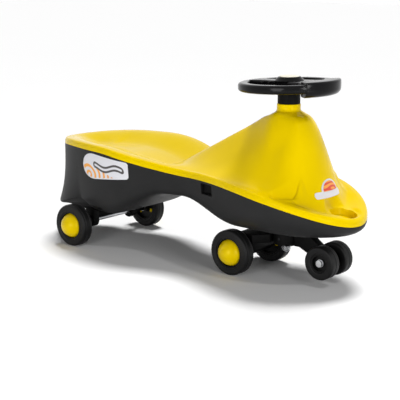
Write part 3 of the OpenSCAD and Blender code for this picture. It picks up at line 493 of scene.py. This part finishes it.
def make_finishes(colours):
    warm, pale = (1, 0.85, 0.12), (1, 0.85, 0.2)
    return {
        "shell": finish("Yellow moulded plastic", colours.shell, 0.16, 900, 0.00003, 0.025, 0.10, tint=warm),
        "cap": finish("Yellow cap plastic", colours.shell, 0.18, 1200, 0.00003, 0.03, 0.25, tint=pale),
        "hull": finish("Grained grey plastic", colours.hull, 0.5, 1500, 0.00012, 0.08, 0.12),
        "moulding": finish("Black satin plastic", colours.moulding, 0.5, 1300, 0.00008, 0.1, 0.06),
        "wheel_rim": finish("Black gloss plastic", colours.wheel_rim, 0.14, 700, 0.00003, 0.1, 0.12),
        "tyre": finish("Black tread plastic", colours.tyre, 0.5, 1100, 0.00014, 0.12, 0.18),
        "hub": finish("Black hub plastic", colours.moulding, 0.42, 1000, 0.00005, 0.1, 0.15),
        "cream": finish("Cream plastic", colours.cream, 0.35, 900, 0.00004, 0.02),
        "nylon": finish("Natural nylon", (0.68, 0.67, 0.60), 0.42, 800, 0.00005, 0.04),
        "steel": finish("Drawn steel", (0.55, 0.56, 0.58), 0.30, 500, 0.00003, 0.06, 0.5, 1, (1, 0.05, 1)),
        "dark_steel": finish("Blackened steel", (0.03, 0.03, 0.032), 0.4, 600, 0.00003, 0.08, 0.5, 1),
        "plated": finish("Plated steel", (0.72, 0.73, 0.75), 0.20, 700, 0.00002, 0.05, 0.5, 1),
    }


FINISHES = {}


# Meshes


def shade(bm):
    """Smooth faces, with sharp edges where two faces meet steeply."""
    for face in bm.faces:
        face.smooth = True
    for edge in bm.edges:
        edge.smooth = len(edge.link_faces) == 2 and edge.calc_face_angle(0) < SHARP_ANGLE


def new_mesh(name, bm):
    """A mesh from a bmesh, which is freed."""
    mesh = bpy.data.meshes.new(name)
    bm.to_mesh(mesh)
    bm.free()
    return mesh


def new_object(name, data):
    """An object of the scene with its data."""
    made = bpy.data.objects.new(name, data)
    bpy.context.scene.collection.objects.link(made)
    return made


def add_piece(name, bm, look, body, nodes=()):
    """Turns a bmesh into a piece of the object that rides on a body and stands for its CAD nodes."""
    shade(bm)
    piece = new_object(name, new_mesh(name, bm))
    piece.data.materials.append(FINISHES[look] if isinstance(look, str) else look)
    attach(piece, body)
    if nodes:
        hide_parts(*nodes)
    return piece


def join(bm, part):
    """Adds one bmesh to another."""
    mesh = new_mesh("part", part)
    bm.from_mesh(mesh)
    bpy.data.meshes.remove(mesh)


def turn_out(bm):
    """Turns all faces outwards."""
    bmesh.ops.recalc_face_normals(bm, faces=bm.faces)


def clean(bm, dist=1e-6):
    """Merges points that meet, and turns all faces outwards."""
    bmesh.ops.remove_doubles(bm, verts=bm.verts, dist=dist)
    turn_out(bm)


def arc(cx, cy, r, start, end, steps):
    """Points of an arc in a profile, with angles in degrees."""
    turns = [radians(mix(start, end, k / steps)) for k in range(steps + 1)]
    return [(cx + r * cos(a), cy + r * sin(a)) for a in turns]


def corner(r, z, rounding, start, steps):
    """A rounded corner of a profile at (r, z): a quarter turn from an angle in degrees."""
    out, up = copysign(rounding, cos(radians(start + 45))), copysign(rounding, sin(radians(start + 45)))
    return arc(r - out, z - up, rounding, start, start + 90, steps)


def bush(bore, radius, low, high, edge, steps=3):
    """Profile of a bored cylinder with rounded outer edges."""
    outer = corner(radius, low, edge, -90, steps) + corner(radius, high, edge, 0, steps)
    return [(bore, low)] + outer + [(bore, high)]


def lathe(profile, closed=True, steps=96, matrix=None):
    """A turned piece: the profile's (radius, height) points are spun about Z and then placed."""
    bm = bmesh.new()
    verts = [bm.verts.new((r, 0, z)) for r, z in profile]
    edges = [bm.edges.new((a, b)) for a, b in zip(verts, verts[1:])]
    if closed:
        edges.append(bm.edges.new((verts[-1], verts[0])))
    bmesh.ops.spin(
        bm, geom=verts + edges, cent=(0, 0, 0), axis=(0, 0, 1), angle=2 * pi, steps=steps, use_merge=True
    )
    clean(bm)
    if matrix:
        bmesh.ops.transform(bm, matrix=matrix, verts=bm.verts)
    return bm


def round_edges(bm, edges, offset):
    bmesh.ops.bevel(bm, geom=edges, offset=offset, segments=3, profile=0.5, affect="EDGES", material=-1)


def soft_box(low, high, round_edge):
    """A box with rounded edges."""
    bm = bmesh.new()
    bmesh.ops.create_cube(bm, size=1)
    for v in bm.verts:
        v.co = Vector([mix(a, b, c + 0.5) for a, b, c in zip(low, high, v.co)])
    round_edges(bm, bm.edges[:], round_edge)
    return bm


def slab(outline, depth, round_edge, matrix):
    """A flat outline pushed up by its depth, with rounded edges, then placed."""
    bm = bmesh.new()
    face = bm.faces.new([bm.verts.new((x, y, 0)) for x, y in outline])
    pushed = bmesh.ops.extrude_face_region(bm, geom=[face])["geom"]
    bmesh.ops.translate(bm, vec=(0, 0, depth), verts=[g for g in pushed if isinstance(g, bmesh.types.BMVert)])
    turn_out(bm)
    if round_edge:
        round_edges(bm, bm.edges[:], round_edge)
    bmesh.ops.transform(bm, matrix=matrix, verts=bm.verts)
    clean(bm)
    return bm


def along_y(x, y, z, side=1):
    """Placement whose Z runs outwards along Y on one side."""
    return Matrix.Translation((x, y, z)) @ Matrix.Rotation(-side * pi / 2, 4, "X")


def steering(z=0.0):
    return Matrix.Translation((STEER_X, 0, z))


def grid_skin(columns, rows, place):
    """A grid whose every point is placed by its two shares, closed where its edges meet."""
    bm = bmesh.new()
    bmesh.ops.create_grid(bm, x_segments=columns, y_segments=rows, size=1)
    for v in bm.verts:
        v.co = place((v.co.x + 1) / 2, (v.co.y + 1) / 2)
    bmesh.ops.remove_doubles(bm, verts=bm.verts, dist=2e-6)
    return bm


def face_toward(bm, direction):
    """Gives an open skin's faces one side, which looks in a direction."""
    turn_out(bm)
    if sum(f.normal.dot(direction) * f.calc_area() for f in bm.faces) < 0:
        bmesh.ops.reverse_faces(bm, faces=bm.faces)


def cut(piece, cutter):
    """Cuts a closed bmesh out of a piece's mesh."""
    mesh = new_mesh("cutter", cutter)
    tool = new_object("cutter", mesh)
    change = piece.modifiers.new("Cut", "BOOLEAN")
    change.operation, change.solver, change.object = "DIFFERENCE", "EXACT", tool
    result = bpy.data.meshes.new_from_object(piece.evaluated_get(bpy.context.evaluated_depsgraph_get()))
    piece.modifiers.remove(change)
    bm = bmesh.new()
    bm.from_mesh(result)
    shade(bm)
    bm.to_mesh(piece.data)
    bm.free()
    bpy.data.meshes.remove(result)
    bpy.data.objects.remove(tool)
    bpy.data.meshes.remove(mesh)


# Operators


class WIGGLE_OT_upper_shell(bpy.types.Operator):
    """Makes the yellow shell with its seat, ridge, cone, foot pockets and nose recess."""

    bl_idname = "wiggle.upper_shell"
    bl_label = "Upper shell"

    def execute(self, context):
        size = context.scene.wiggle_body
        body = Body(size)
        gap, shoulder = 0.0006, 0.003
        lip = [(0.004, gap), (0.0, gap), (0.0, shoulder)]
        half = size.lip_width / 2
        for step in range(1, 9):
            angle = pi / 2 * step / 8
            lip.append((half * (1 - cos(angle)), mix(shoulder, size.lip_height, sin(angle))))
        rows = 90

        def place(u, v):
            rim, spine = body.rim(u)
            ray = rim - spine
            row = round(v * rows)
            share = (row - len(lip) + 1) / (rows - len(lip) + 1)
            inset, rise = lip[row] if row < len(lip) else (mix(half, ray.length, share), None)
            x, y = spine + ray * (1 - inset / ray.length)
            z = body.top(x, y, inset) if rise is None else body.seam(x if row else rim.x) + rise
            return Vector((x, y, z))

        bm = grid_skin(RIM_STEPS, rows, place)
        self.refine(bm, body)
        face_toward(bm, Vector((0, 0, 1)))
        collar = [(0.0166, 0.340), (0.0166, 0.3672)] + arc(0.0232, 0.3659, 0.0013, 90, 0, 4) + [(0.0245, 0.340)]
        join(bm, lathe(collar, matrix=steering()))
        add_piece("upper_shell_skin", bm, "shell", "chassis", ["upper_shell"])
        return {"FINISHED"}

    def refine(self, bm, body):
        """Divides the faces on and near these details, and sets their heights again."""
        lip_end = 0.0065
        near = [f for f in bm.faces if any(body.detailed(v.co.x, v.co.y) for v in f.verts)]
        fine = [f for f in near if all(body.inset(v.co.x, v.co.y) > lip_end for v in f.verts)]
        edges = list({e for f in fine for e in f.edges})
        made = bmesh.ops.subdivide_edges(bm, edges=edges, cuts=3, use_grid_fill=True)
        for v in {g for g in made["geom_inner"] if isinstance(g, bmesh.types.BMVert)}:
            x, y = v.co.x, v.co.y
            v.co.z = body.top(x, y, body.inset(x, y))


class WIGGLE_OT_lower_hull(bpy.types.Operator):
    """Makes the grey hull with its wheel arches, snap windows and latches."""

    bl_idname = "wiggle.lower_hull"
    bl_label = "Lower hull"

    def execute(self, context):
        size = context.scene.wiggle_body
        body = Body(size)
        rows, top_rows = 74, 6

        def place(u, v):
            row = round(v * rows)
            rim, spine = body.rim(u)
            if row < top_rows:
                share = row / top_rows
                ray = rim - spine
                inset = mix(ray.length, 0.004, share)
                p = spine + ray * (1 - inset / ray.length)
                sag = body.floor(spine.x) + 0.020
                return Vector((p.x, p.y, mix(sag, body.seam(rim.x), share)))
            t = 2 * (row - top_rows) / (rows - top_rows) - 1
            theta = pi / 4 * (1 + copysign(abs(t) ** 1.5, t))
            return body.hull_point(u, theta)

        bm = grid_skin(RIM_STEPS, rows, place)
        clean(bm, 2e-6)
        piece = add_piece("lower_hull_skin", bm, "hull", "chassis", ["lower_hull"])
        cutter, latches = bmesh.new(), bmesh.new()
        for side in (-1, 1):
            join(cutter, self.arch(size.arch_radius, side))
            join(cutter, self.window_box(body, side, 0.0, (0.018, 0.017, 0.012), 0.002))
            join(latches, self.window_box(body, side, 0.0155, (0.0178, 0.0045, 0.0118), 0.0015))
        shaft_hole = [(0, 0.05), (0.0142, 0.05), (0.0142, 0.3), (0, 0.3)]
        join(cutter, lathe(shaft_hole, False, 48, steering()))
        turn_out(cutter)
        cut(piece, cutter)
        # Painted shade: the downward faces round the rear axle get the black moulding finish.
        self.paint_underside_shade(piece.data)
        add_piece("window_latches", latches, "moulding", "chassis", ["seam_latches"])
        return {"FINISHED"}

    def paint_underside_shade(self, mesh):
        """Paints shade under the hull: the faces that look down round the rear axle get the black finish as painted
        shade.
        """
        shade_end, downward = -0.19, -0.5
        mesh.materials.append(FINISHES["moulding"])
        for face in mesh.polygons:
            if face.normal.z < downward and face.center.x < shade_end:
                face.material_index = 1

    def window_box(self, body, side, inset, half, round_edge):
        """A box at a snap window, from its half sizes."""
        y, z = side * (body.half_width(WINDOW_X) - inset), body.seam(WINDOW_X) - WINDOW_DROP
        low, high = [[m + end * h for m, h in zip((WINDOW_X, y, z), half)] for end in (-1, 1)]
        return soft_box(low, high, round_edge)

    def arch(self, radius, side):
        """A wheel arch: round above the wheel, with a slope down to the tail."""
        tail, rise = 0.107, 0.030
        start = 180 - degrees(atan2(rise, tail) + acos(radius / hypot(tail, rise)))
        outline = [(-tail, rise)] + arc(0, 0, radius, start, -90, 48) + [(-tail, -radius)]
        y = -0.080 if side < 0 else 0.200
        return slab(outline, 0.120, 0.0, along_y(REAR_AXLE_X, y, WHEEL_R, -1))


class WIGGLE_OT_labels(bpy.types.Operator):
    """Makes the pale labels on the hull's sides and the front of the cone."""

    bl_idname = "wiggle.labels"
    bl_label = "Labels"

    def execute(self, context):
        colours = context.scene.wiggle_colours
        body = Body(context.scene.wiggle_body)
        ground, ink = tuple(colours.label), tuple(colours.label_ink)
        side_print = label_finish("Side label print", ground, ink, (-0.222, 0, 0.178), 22, (0.045, 0.04, 0.04))
        plain = finish("Label edge", ground, 0.4, 900, 0.00002, 0.02)
        for side, hand in reversed(HANDS):
            for kind, look, grow, lift in (("edge", plain, 0.0, 0.0004), ("print", side_print, -0.0028, 0.0007)):
                skin = self.side_label(body, side, grow, lift)
                add_piece(f"{hand}_label_{kind}", skin, look, "chassis")
        edge = bmesh.new()
        join(edge, self.front_bar(body))
        join(edge, self.front_arch(body, 1.0, 0.0004))
        add_piece("front_label_edge", edge, plain, "chassis")
        orange, red = (0.85, 0.36, 0.06), (0.62, 0.05, 0.03)
        front_print = label_finish("Front label print", orange, red, (0.35, 0.004, 0.203), 40)
        arch = self.front_arch(body, 0.82, 0.0009)
        add_piece("front_label_print", arch, front_print, "chassis")
        return {"FINISHED"}

    def side_label(self, body, side, grow, lift):
        """A label beside the seat: round behind, tapered, with soft corners in front."""
        rear_x, front_x = -0.2475 - grow, -0.0960 + grow
        rear_run, front_run, corner_share = 0.0475 + grow, 0.006, 0.22

        def place(u, v):
            x = mix(rear_x, front_x, u)
            rear = max(0.0, 1 - (x - rear_x) / rear_run)
            front = max(0.0, 1 - (front_x - x) / front_run)
            corner = corner_share * (1 - sqrt(max(0.0, 1 - front * front)))
            tall = sqrt(max(0.0, 1 - rear * rear)) * (1 - corner)
            z = mix(0.1970, 0.2000, u) + (2 * v - 1) * (mix(0.0334, 0.0187, u) + grow) * tall
            return Vector((x, side * (body.side_y(x, z) + lift), z))

        bm = grid_skin(44, 20, place)
        face_toward(bm, Vector((0, side, 0)))
        return bm

    def front_skin(self, body, columns, rows, lift, outline):
        """A grid laid on the front of the cone, a little proud of it."""

        def place(u, v):
            y, z = outline(u, v)
            return Vector((body.front_x(y, z) + lift, y, z + lift))

        bm = grid_skin(columns, rows, place)
        face_toward(bm, Vector((1, 0, 0)))
        return bm

    def front_bar(self, body):
        height, middle, half, end_run = 0.1925, -0.003, 0.036, 0.006

        def outline(u, v):
            y = mix(-0.045, 0.039, u)
            end = max(0.0, abs(y - middle) - half) / end_run
            return y, height + (v - 0.5) * 0.013 * sqrt(max(0.0, 1 - end * end))

        return self.front_skin(body, 40, 6, 0.0004, outline)

    def front_arch(self, body, share, lift):
        middle, low, wide, tall = 0.004, 0.1975 + 0.003 * (1 - share), 0.0285 * share, 0.0235 * share

        def outline(u, v):
            return middle + wide * v * cos(pi * u), low + tall * v * sin(pi * u)

        return self.front_skin(body, 32, 10, lift, outline)


class WIGGLE_OT_steering_wheel(bpy.types.Operator):
    """Makes the steering wheel, its centre cap and the column sleeve."""

    bl_idname = "wiggle.steering_wheel"
    bl_label = "Steering wheel"
    RAKE = 0.036

    def execute(self, context):
        low, top, inner, outer = 0.3952, 0.4130, 0.0845, 0.105
        ring = corner(outer, low, 0.006, -90, 6) + corner(outer, top, 0.006, 0, 6)
        ring += corner(inner, top, 0.003, 90, 4) + corner(inner, low, 0.004, 180, 4)
        bm = lathe(ring, True, 160)
        spoke = [(0.048, -0.034), (0.076, -0.056), (0.092, 0.0), (0.076, 0.056), (0.048, 0.034), (0.0, 0.024)]
        spoke += [(-0.060, 0.018), (-0.087, 0.024), (-0.092, 0.0), (-0.087, -0.024), (-0.060, -0.018), (0.0, -0.024)]
        join(bm, slab(spoke, 0.014, 0.003, Matrix.Translation((0, 0, 0.4005))))
        join(bm, self.block())
        hub = [(0.0082, 0.3945)] + corner(0.031, 0.3945, 0.0025, -90, 4) + [(0.031, 0.4150)]
        hub += arc(0.0225, 0.4205, 0.002, 20, 90, 4) + [(0.0082, 0.4225)]
        join(bm, lathe(hub, steps=72))
        for side in (-1, 1):
            for x, reach in ((-0.050, 0.029), (-0.031, 0.029), (0.041, 0.034)):
                near, far = sorted((side * 0.020, side * reach))
                join(bm, soft_box((x - 0.0012, near, 0.4010), (x + 0.0012, far, 0.4136), 0.0007))
        for v in bm.verts:
            v.co.z += self.RAKE * v.co.x
        bmesh.ops.transform(bm, matrix=steering(), verts=bm.verts)
        add_piece("steering_wheel_rim", bm, "wheel_rim", "steering", ["steering_wheel"])
        cap = [(0, 0.4135), (0.0205, 0.4135)] + corner(0.0205, 0.4240, 0.0012, 0, 4) + [(0.010, 0.4243), (0, 0.4245)]
        button = lathe(cap, False, 72, steering())
        add_piece("wheel_centre_button", button, "cream", "steering", ["wheel_centre_cap"])
        sleeve = lathe(bush(0.0082, 0.02335, 0.3676, 0.3945, 0.0007), steps=72, matrix=steering())
        add_piece("column_tube", sleeve, "moulding", "steering", ["column_sleeve"])
        return {"FINISHED"}

    def block(self):
        """The deep block in front of the rim."""
        bm = bmesh.new()
        low, top, inner, outer = 0.3865, 0.4175, 0.071, 0.1058
        points = corner(outer, low, 0.013, -90, 8) + corner(outer, top, 0.005, 0, 5)
        points += corner(inner, top, 0.004, 90, 5) + corner(inner, low, 0.006, 180, 5)
        start = radians(-36)
        face = bm.faces.new([bm.verts.new((r * cos(start), r * sin(start), z)) for r, z in points])
        bmesh.ops.spin(bm, geom=[face], cent=(0, 0, 0), axis=(0, 0, 1), angle=-2 * start, steps=36)
        clean(bm)
        ends = [e for f in bm.faces if len(f.verts) > 8 for e in f.edges]
        round_edges(bm, ends, 0.0015)
        turn_out(bm)
        return bm


class WIGGLE_OT_main_wheels(bpy.types.Operator):
    """Makes the four main tyres and their domed caps."""

    bl_idname = "wiggle.main_wheels"
    bl_label = "Main wheels"

    def execute(self, context):
        wide, r, inner = 0.014, WHEEL_R, 0.0331
        tyre = [(inner, -0.012)] + corner(inner, -wide, 0.0015, 180, 3)
        for ring in (0.0375, 0.0415):
            tyre += [(ring - 0.0006, -wide), (ring, -wide + 0.0005), (ring + 0.0006, -wide)]
        tyre += corner(r, -wide, 0.0055, -90, 7)
        for groove in (-0.0065, 0.0065):
            tyre += [(r, groove - 0.0016)] + arc(r, groove, 0.0013, -80, -280, 5)[1:-1] + [(r, groove + 0.0016)]
        tyre += corner(r, wide, 0.0055, 0, 7)
        for ring in (0.0425, 0.0398, 0.037):
            tyre += [(ring + 0.0006, wide), (ring, wide - 0.0004), (ring - 0.0006, wide)]
        tyre += corner(inner, wide, 0.0015, 90, 3)
        reach, base, radius = 0.031, 0.006, 0.02875
        ball = (radius**2 + (reach - base) ** 2) / (2 * (reach - base))
        edge = degrees(asin((base + ball - reach) / ball))
        dome = [(0.02625, 0.0042), (0.02875, 0.0042)] + arc(0, reach - ball, ball, edge, 90, 18)
        dome += arc(0, reach - ball, ball - 0.0025, 90, edge + 8, 12)
        for end, x, track in (("rear", REAR_AXLE_X, REAR_HALF_TRACK), ("front", FRONT_AXLE_X, FRONT_HALF_TRACK)):
            for side, hand in HANDS:
                place = along_y(x, side * track, WHEEL_R, side)
                name = f"{end}_{hand}"
                rider = f"{name}_wheel"
                add_piece(f"{name}_tread", lathe(tyre, True, 120, place), "tyre", rider, [f"{name}_tyre"])
                cap = lathe(dome, True, 96, place)
                for turn in (20, 140, 260):
                    tab = soft_box((0.0175, -0.004, -0.0065), (0.0235, 0.004, -0.0035), 0.0008)
                    spot = place @ Matrix.Rotation(radians(turn), 4, "Z")
                    bmesh.ops.transform(tab, matrix=spot, verts=tab.verts)
                    join(cap, tab)
                add_piece(f"{name}_dome", cap, "cap", rider, [f"{name}_cap"])
        return {"FINISHED"}


class WIGGLE_OT_caster_wheels(bpy.types.Operator):
    """Makes the two small wheels in front of the yoke."""

    bl_idname = "wiggle.caster_wheels"
    bl_label = "Anti-tip wheels"

    def execute(self, context):
        wide, r, inner = 0.0135, CASTER_R, 0.0201
        tyre = corner(inner, -wide, 0.002, 180, 4) + corner(r, -wide, 0.004, -90, 6)
        tyre += [(r, -0.0012), (r - 0.0008, -0.0006), (r - 0.0008, 0.0006), (r, 0.0012)]
        tyre += corner(r, wide, 0.004, 0, 6) + corner(inner, wide, 0.002, 90, 4)
        for side, hand in HANDS:
            place = along_y(CASTER_X, side * CASTER_HALF_TRACK, CASTER_Z, side)
            tread, name = lathe(tyre, True, 96, place), f"caster_{hand}"
            add_piece(f"{name}_tread", tread, "tyre", f"{name}_wheel", [f"{name}_tyre"])
        return {"FINISHED"}


class WIGGLE_OT_yoke(bpy.types.Operator):
    """Makes the steering yoke with its cheeks, axle tube and arm."""

    bl_idname = "wiggle.yoke"
    bl_label = "Yoke"

    def execute(self, context):
        bottom, top, half, edge = 0.0695, 0.0977, 0.052, 0.002
        bm = lathe(bush(0.0081, 0.027, bottom, top, edge, 4), steps=72, matrix=steering())
        saddle = [(-0.0265, -0.020), (-0.0265, 0.020), (-0.050, half)]
        saddle += [(-0.0907, half), (-0.0907, -half), (-0.050, -half)]
        join(bm, slab(saddle, 0.020, edge, steering(bottom)))
        cheek = [(-0.050, bottom), (-0.050, 0.0895), (-0.0907, 0.0895), (-0.1087, 0.067)]
        cheek += [(-0.1087, 0.049), (-0.0727, 0.049), (-0.054, 0.053)]
        join(bm, slab(cheek, 2 * half, edge, along_y(STEER_X, half, 0, -1)))
        tube = bush(AXLE_BORE, 0.018, -half, half, edge, 4)
        join(bm, lathe(tube, steps=72, matrix=along_y(FRONT_AXLE_X, 0, WHEEL_R)))
        arm = [(0.0265, bottom), (0.0265, top), (0.066, top), (0.1158, 0.0629), (0.1002, 0.0421), (0.040, bottom)]
        join(bm, slab(arm, 0.020, edge, along_y(STEER_X, 0.010, 0, -1)))
        boss = bush(0.0041, 0.013, -0.010, 0.010, 0.0015)
        join(bm, lathe(boss, steps=64, matrix=along_y(CASTER_X, 0, CASTER_Z)))
        add_piece("yoke_moulding", bm, "moulding", "steering", ["yoke"])
        return {"FINISHED"}


class WIGGLE_OT_rear_axle(bpy.types.Operator):
    """Makes the rear axle's carrier and stepped spacers."""

    bl_idname = "wiggle.rear_axle"
    bl_label = "Rear axle"

    def execute(self, context):
        x, low, high, edge = REAR_AXLE_X, 0.056, 0.074, 0.0015
        bm = soft_box((x - 0.028, -high, 0.0763), (x + 0.028, high, 0.0833), edge)
        join(bm, soft_box((x - 0.010, -0.058, 0.0546), (x + 0.010, 0.058, 0.0793), edge))
        spacers = bmesh.new()
        ring = bush(AXLE_BORE, 0.015, low, high, edge)
        step = bush(AXLE_BORE, 0.012, 0.0741, 0.082, 0.001)[:-1]
        step += [(0.008, 0.082), (0.008, 0.1071), (AXLE_BORE, 0.1071)]
        for side in (-1, 1):
            near, far = sorted((side * low, side * high))
            join(bm, soft_box((x - 0.014, near, WHEEL_R), (x + 0.014, far, 0.0793), edge))
            place = along_y(x, 0, WHEEL_R, side)
            join(bm, lathe(ring, steps=64, matrix=place))
            join(spacers, lathe(step, steps=64, matrix=place))
        add_piece("axle_carrier", bm, "moulding", "chassis", ["rear_axle_carrier"])
        add_piece("axle_spacers", spacers, "moulding", "chassis", ["rear_spacers"])
        return {"FINISHED"}


class WIGGLE_OT_hardware(bpy.types.Operator):
    """Gives the carried-over solids their finishes."""

    bl_idname = "wiggle.hardware"
    bl_label = "Hardware finishes"
    LOOKS = dict.fromkeys(("shaft_cap_nut", "caster_bolt", "caster_nut"), "plated")
    LOOKS.update(hub="hub", bush="nylon", thrust_washer="nylon", yoke_cross_pin="dark_steel")

    def execute(self, context):
        for name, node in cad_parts.items():
            key = self.LOOKS.get(name) or self.LOOKS.get(name.rsplit("_", 1)[-1], "steel")
            node.data.materials.clear()
            node.data.materials.append(FINISHES[key])
        return {"FINISHED"}


class WIGGLE_OT_stage(bpy.types.Operator):
    """Sets the floor, light, sky and camera."""

    bl_idname = "wiggle.stage"
    bl_label = "Stage"

    def execute(self, context):
        scene = context.scene
        stage = scene.wiggle_stage
        scene.view_settings.view_transform = "Standard"
        self.floor()
        self.sky(scene, stage.sky)
        key = self.light("Key light", "SUN", stage.key_light, (-0.111, 0.341, 0.934), (0, 0, 0))
        key.data.angle, key.visible_glossy = radians(20), False
        for name, power, place, target, size in (
            ("Front light", stage.front_light, (0.6, -2.5, 0.55), (0.05, 0, 0.2), 1.3),
            ("Nose light", stage.nose_light, (2.7, -0.8, 0.65), (0.15, 0, 0.2), 1.0),
            ("Glint light", stage.glint_light, (1.70, -0.40, 2.00), (0.15, 0, 0.2), 0.16),
        ):
            lamp = self.light(name, "AREA", power, place, target).data
            lamp.shape, lamp.size = "DISK", size
        camera = bpy.data.cameras.new("Camera")
        camera.lens, camera.sensor_width, camera.clip_end = stage.lens, 36, 100
        eye = new_object("Camera", camera)
        a, e = stage.azimuth, stage.elevation
        back = Vector((sin(a) * cos(e), -cos(a) * cos(e), sin(e)))
        eye.location = stage.camera_place
        eye.rotation_euler = (-back).to_track_quat("-Z", "Y").to_euler()
        scene.camera = eye
        return {"FINISHED"}

    def floor(self):
        bm = bmesh.new()
        bmesh.ops.create_grid(bm, x_segments=1, y_segments=1, size=12)
        floor = new_object("Floor", new_mesh("Floor", bm))
        material, tree, shader = new_material("White floor")
        wire(tree, shader, {"Base Color": (0.95, 0.95, 0.95, 1), "Roughness": 0.9, "Specular IOR Level": 0.0})
        floor.data.materials.append(material)

    def sky(self, scene, strength):
        """White to the camera and in reflections; its light is bright overhead and dims to the horizon."""
        scene.world = bpy.data.worlds.new("Studio")
        scene.world.use_nodes = True
        tree = scene.world.node_tree
        coords = add_node(tree, "TexCoord", {}).outputs["Generated"]
        height = add_node(tree, "SeparateXYZ", {"Vector": coords}).outputs["Z"]
        dome = ramp(tree, height, ((0.0, (0.6, 0.6, 0.6)), (0.8, (1, 1, 1))))
        light = wire(tree, tree.nodes["Background"], {"Color": dome, "Strength": strength})
        white = add_node(tree, "Background", {"Color": (1, 1, 1, 1)})
        rays = add_node(tree, "LightPath", {}).outputs
        mirrored = calc(tree, "MAXIMUM", rays["Is Glossy Ray"], rays["Is Transmission Ray"])
        seen = calc(tree, "MAXIMUM", rays["Is Camera Ray"], mirrored)
        pick = add_node(tree, "MixShader", {"Fac": seen, 1: light.outputs[0], 2: white.outputs[0]})
        tree.links.new(pick.outputs[0], tree.nodes["World Output"].inputs["Surface"])

    def light(self, name, kind, energy, place, target):
        """A light at a place that looks at a target."""
        lamp = bpy.data.lights.new(name, kind)
        lamp.energy = energy
        holder = new_object(name, lamp)
        holder.location = place
        holder.rotation_euler = (Vector(target) - Vector(place)).to_track_quat("-Z", "Y").to_euler()
        return holder


class WIGGLE_PT_panel(bpy.types.Panel):
    """Lists the sizes, colours and makers of the wiggle car."""

    bl_idname = "WIGGLE_PT_panel"
    bl_label = "Wiggle Car"
    bl_space_type = "VIEW_3D"
    bl_region_type = "UI"
    bl_category = "Wiggle Car"

    def draw(self, context):
        layout = self.layout
        for maker in MAKERS:
            layout.operator(maker.bl_idname)
        for name in GROUPS:
            group, box = getattr(context.scene, name), layout.box()
            for key in group.__annotations__:
                box.prop(group, key)


MAKERS = (
    WIGGLE_OT_hardware,
    WIGGLE_OT_upper_shell,
    WIGGLE_OT_lower_hull,
    WIGGLE_OT_labels,
    WIGGLE_OT_steering_wheel,
    WIGGLE_OT_main_wheels,
    WIGGLE_OT_caster_wheels,
    WIGGLE_OT_yoke,
    WIGGLE_OT_rear_axle,
    WIGGLE_OT_stage,
)
GROUPS = {"wiggle_body": WIGGLE_PG_body, "wiggle_colours": WIGGLE_PG_colours, "wiggle_stage": WIGGLE_PG_stage}
CLASSES = (*GROUPS.values(), *MAKERS, WIGGLE_PT_panel)


def register():
    for cls in CLASSES:
        bpy.utils.register_class(cls)
    for name, group in GROUPS.items():
        setattr(bpy.types.Scene, name, PointerProperty(type=group))


def unregister():
    for name in GROUPS:
        delattr(bpy.types.Scene, name)
    for cls in reversed(CLASSES):
        bpy.utils.unregister_class(cls)


def main():
    register()
    FINISHES.update(make_finishes(bpy.context.scene.wiggle_colours))
    bpy.ops.wiggle.hardware()
    bpy.ops.wiggle.upper_shell()
    bpy.ops.wiggle.lower_hull()
    bpy.ops.wiggle.labels()
    bpy.ops.wiggle.steering_wheel()
    bpy.ops.wiggle.main_wheels()
    bpy.ops.wiggle.caster_wheels()
    bpy.ops.wiggle.yoke()
    bpy.ops.wiggle.rear_axle()
    bpy.ops.wiggle.stage()


if __name__ == "__main__":
    main()
